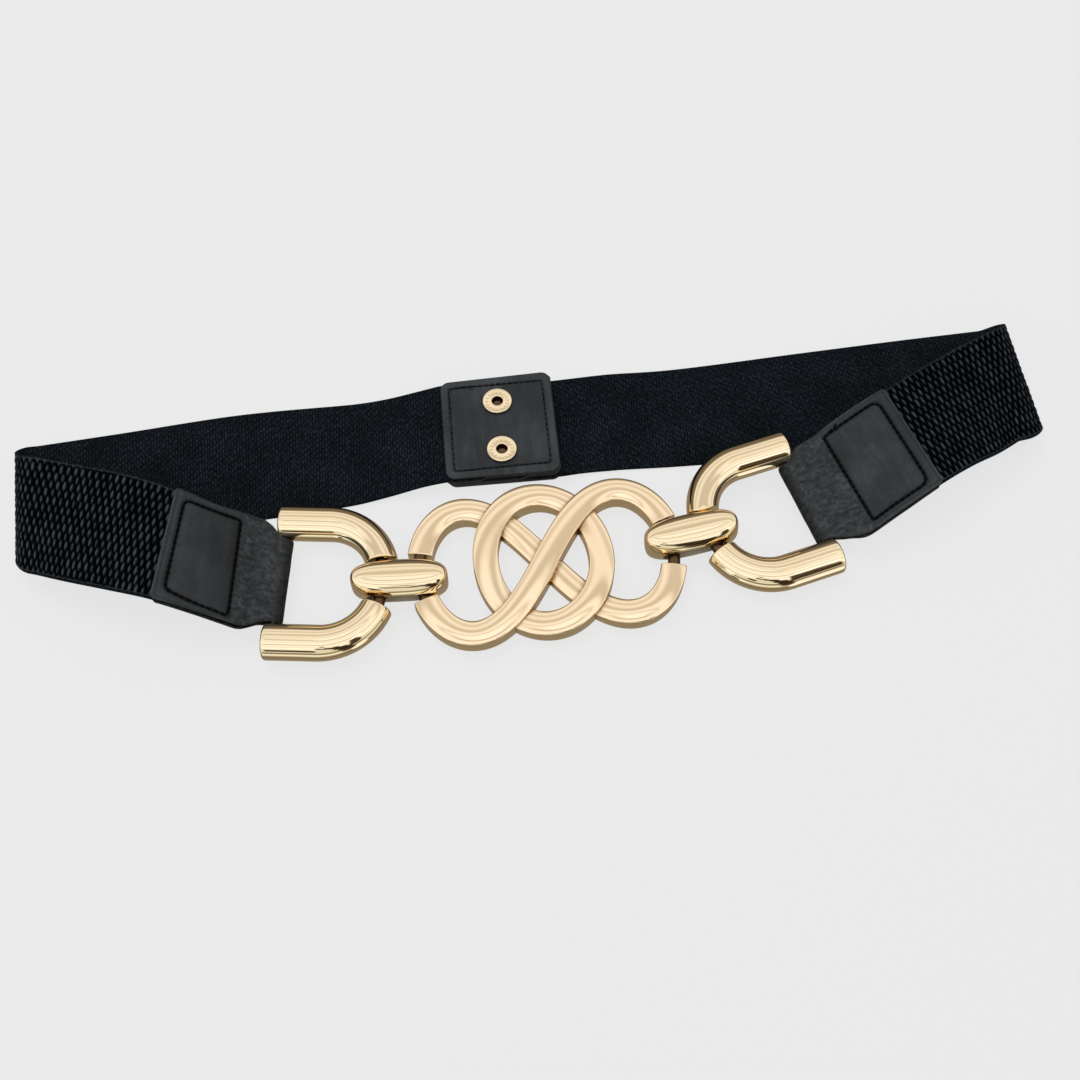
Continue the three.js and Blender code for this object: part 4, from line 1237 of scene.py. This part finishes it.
def turned_piece(name, node, profile, dark, side, sides=96, rise=None):
    """A round piece about an upright axis of a snap, from a closed list of radius and height.
    Rows of faces numbered in dark get painted shade, for the inside of a hole."""
    radius, height = np.array(profile, float).T[:, :, None]
    heights = np.broadcast_to(height, (len(profile), sides))
    if rise:
        heights = heights + rise(radius, height, circle(sides))
    piece = loft(name, snap_rings(side, radius, heights, sides))
    rows = len(profile) - 1
    index = np.isin(np.arange(rows), [k % rows for k in dark])
    coat(piece, [POLISHED, GILT_PAINTED_SHADE], np.append(np.repeat(index, sides), [False, bool(dark)]))
    dress(piece, node, 50)


def ring_dots(radius, height, angles):
    """Small round dots stamped in a ring on the face of a stud."""
    spacing = 2 * pi / RING_DOTS["count"]
    off = (angles / spacing - np.round(angles / spacing)) * spacing * RING_DOTS["at"]
    away = np.hypot(off, radius - RING_DOTS["at"]) / RING_DOTS["size"]
    return np.where(height > RING_TOP - 0.3, -RING_DOTS["height"] * np.clip(1 - away ** 2, 0, 1), 0)


def stud(which, side):
    ring, hole, post, disc, knob, waist = STUD.values()
    face = []
    for radius in np.linspace(ring - 0.35, hole + 0.45, 40):
        share = (radius - hole) / (ring - hole)
        face.append((radius, RING_TOP - 0.12 * (2 * share - 1) ** 2))
    profile = [
        (0.02, KNOB_LOW), (waist, KNOB_LOW), (knob, KNOB_LOW + SNAP_EDGE), (knob, DISC_LOW - SNAP_EDGE),
        (waist, DISC_LOW), (disc, DISC_LOW), (disc, DISC_TOP), (post, DISC_TOP), (post, RING_LOW),
        (ring - 0.15, RING_LOW), *arc(ring - 0.35, face[0][1] - 0.35, 0.35, 0, 80, 7), *face,
        *arc(hole + 0.45, face[-1][1] - 0.45, 0.45, 100, 180, 7),
        (hole, HOLE_FLOOR + 0.2), (hole - 0.2, HOLE_FLOOR), (0.02, HOLE_FLOOR),
    ]
    turned_piece(f"gilt_stud_{which}", f"snap_stud_{which}", profile, [-1, -2, -3], side, 168, ring_dots)


def socket(which, side):
    cap, foot, post, rim, cup = SOCKET.values()
    profile = [
        (0.02, 0.0), (foot, 0.0), *arc(cap - 0.5, CAP_HEIGHT - 0.35, 0.5, -50, 0, 5), (cap, CAP_HEIGHT),
        (post, CAP_HEIGHT), (post, SOCKET_FLOOR), (rim, SOCKET_FLOOR), (rim, SOCKET_RIM - SNAP_EDGE),
        (rim - SNAP_EDGE, SOCKET_RIM), (cup, SOCKET_RIM), (cup, CUP_FLOOR), (0.02, CUP_FLOOR),
    ]
    turned_piece(f"gilt_socket_{which}", f"snap_socket_{which}", profile, [], side)


# The stage.

CAMERA = {"distance": 400.0, "elevation": 62.0, "lens": 40.0, "sensor": 36.0}
FLOOR_SIZE = 6.0
FLOOR_HEIGHT = -0.00003
WALL_COLOUR = (0.82, 0.82, 0.82, 1)

# The studio's brightness by the angle from overhead in degrees, towards the front and towards the back:
# rows of lamps with thin dark lines between them, and dark below the horizon.
STUDIO_FRONT = [
    (0, 1.15), (4, 1.2), (6, 1.0), (8.5, 0.5), (11, 1.0), (16, 1.2), (20, 0.9), (24, 1.22), (30, 1.25),
    (33, 1.0), (35.5, 0.52), (38, 1.0), (44, 1.28), (50, 0.95), (56, 1.3), (63, 1.2), (67, 0.85),
    (72, 1.05), (75, 0.55), (78, 0.8), (84, 1.05), (89, 0.4), (95, 0.2), (99, 0.4), (105, 1.1), (111, 0.95),
    (118, 0.45), (126, 0.25), (134, 0.20), (143, 0.27), (180, 0.30),
]
STUDIO_BACK = [
    (0, 1.15), (4, 1.2), (9, 1.12), (13, 0.8), (16, 1.1), (20, 1.05), (25, 0.7), (31, 0.72), (36, 0.98),
    (42, 1.02), (47, 0.8), (53, 0.78), (58, 1.0), (64, 0.98), (69, 0.5), (74, 0.2), (84, 0.2), (92, 0.16),
    (104, 0.2), (120, 0.26), (150, 0.28), (180, 0.3),
]
STUDIO_PEAK = 1.5
# The rows are longer along the belt than across it, and stand a little towards the front.
STUDIO_SQUASH = 0.55
STUDIO_LEAN = 3.0
# Bright and dark patches near the horizon: direction, angle across in degrees, brightness.
STUDIO_SPOTS = [
    ((0.56, -0.56, 0.62), 7.0, 1.45), ((0.58, -0.64, -0.50), 11.0, 1.2), ((-0.67, -0.74, -0.03), 8.0, 1.4),
    ((-0.46, -0.82, -0.34), 9.0, 1.2),
    ((0.54, -0.68, 0.49), 6.5, 0.1), ((0.60, -0.73, 0.33), 8.5, 0.08), ((0.62, -0.77, 0.17), 9.0, 0.06),
    ((-0.09, -0.88, 0.46), 5.0, 0.14), ((0.05, -0.89, 0.45), 6.0, 0.08), ((0.20, -0.89, 0.40), 7.5, 0.06),
    ((0.33, -0.91, 0.22), 10.0, 0.05), ((0.43, -0.90, 0.02), 10.5, 0.04), ((0.46, -0.85, -0.24), 10.0, 0.06),
    ((-0.24, -0.95, 0.18), 7.0, 0.08), ((-0.03, -0.77, 0.64), 3.5, 0.3), ((-0.52, -0.76, -0.38), 6.5, 0.08),
]


def lamp_colour(value, angle=0.0):
    """The studio is warmer where it is dimmer, and yellower low down, by the angle from overhead."""
    low = min(max((angle - 50) / 30, 0), 1)
    green = 0.99 + 0.06 * low
    return tuple(share / STUDIO_PEAK for share in (value, green * value ** 1.12, 1.03 * value ** 1.3))


def make_studio():
    """Lamps that light the belt and show in its gilt. The camera sees a plain pale wall instead."""
    world = bpy.data.worlds.new("studio")
    bpy.context.scene.world = world
    world.use_nodes = True
    nodes = Nodes(world.node_tree)
    way = nodes.out("Generated", "TexCoord")
    squashed = nodes.out("Vector", "Mapping", {
        "Vector": way, "Scale": (STUDIO_SQUASH, 1, 1), "Rotation": (radians(-STUDIO_LEAN), 0, 0),
    })
    apart = nodes.add("SeparateXYZ", {"Vector": nodes.vector("NORMALIZE", {0: squashed})}).outputs
    share = nodes.math("DIVIDE", nodes.math("ARCCOSINE", apart["Z"]), pi)
    front = nodes.ramp(share, [(angle / 180, lamp_colour(value, angle)) for angle, value in STUDIO_FRONT])
    back = nodes.ramp(share, [(angle / 180, lamp_colour(value)) for angle, value in STUDIO_BACK])
    colour = nodes.mix(nodes.between(apart["Y"], -0.1, 0.1), front, back)
    for direction, across, brightness in STUDIO_SPOTS:
        centre = tuple(Vector(direction).normalized())
        near = nodes.out("Value", "VectorMath", {0: way, 1: centre}, operation="DOT_PRODUCT")
        inside = nodes.between(near, cos(radians(across)), cos(radians(across * 0.75)))
        colour = nodes.mix(inside, colour, (*lamp_colour(brightness), 1))
    lamps = nodes.out(0, "Background", {"Color": colour, "Strength": STUDIO_PEAK})
    wall = nodes.out(0, "Background", {"Color": WALL_COLOUR, "Strength": 1.0})
    direct = nodes.out("Is Camera Ray", "LightPath")
    nodes.add("OutputWorld", {"Surface": nodes.out(0, "MixShader", {0: direct, 1: lamps, 2: wall})})


def make_floor():
    half = FLOOR_SIZE / 2
    corners = np.array([[-half, -half], [half, -half], [half, half], [-half, half]])
    corners = np.column_stack([corners, np.full(4, FLOOR_HEIGHT)])
    floor = mesh_object("floor", corners, np.array([[0, 1, 2, 3]]))
    material, nodes, _ = new_material("floor")
    paint = nodes.out(0, "BsdfDiffuse", {"Color": (0.08, 0.08, 0.08, 1)})
    glow = nodes.out(0, "Emission", {"Color": (1, 1, 1, 1), "Strength": 0.735})
    nodes.add("OutputMaterial", {"Surface": nodes.out(0, "AddShader", {0: paint, 1: glow})})
    floor.data.materials.append(material)
    floor.visible_glossy = False


def make_lamp(name, place, size, power):
    """A round lamp that points at the middle and doesn't show in the gilt."""
    data = bpy.data.lights.new(name, "AREA")
    data.shape = "DISK"
    data.size = size
    data.energy = power
    lamp = new_object(name, data)
    lamp.location = place
    lamp.rotation_euler = Vector(place).to_track_quat("Z", "Y").to_euler()
    lamp.visible_glossy = False


def make_camera():
    elevation = radians(CAMERA["elevation"])
    data = bpy.data.cameras.new("camera")
    data.lens = CAMERA["lens"]
    data.sensor_width = CAMERA["sensor"]
    data.clip_start = 0.01
    data.clip_end = 20
    camera = new_object("camera", data)
    camera.location = to_frame([0, -CAMERA["distance"] * cos(elevation), CAMERA["distance"] * sin(elevation)])
    camera.rotation_euler = (pi / 2 - elevation, 0, 0)
    bpy.context.scene.camera = camera


make_camera()
for side in ("left", "right"):
    band(side)
    horseshoe(side)
    tab(side)
    link(side)
knot()
for make in (stud, socket):
    make("near", -1)
    make("far", 1)
patch("patch_outer", "closure_tab_outer", OUTER_TAB_LOW + CLOSURE_LEATHER / 2, 1, False, SOCKET["post"] + GAP)
patch("patch_inner", "closure_tab_inner", INNER_TAB_TOP - CLOSURE_LEATHER / 2, -1, True, STUD["post"] + GAP,
      PATCH_FLARE, PATCH_TACKS)
make_floor()
make_studio()
make_lamp("key", (-0.5, 0.5, 1.4), 0.9, 8.0)
bpy.context.scene.view_settings.view_transform = "Standard"
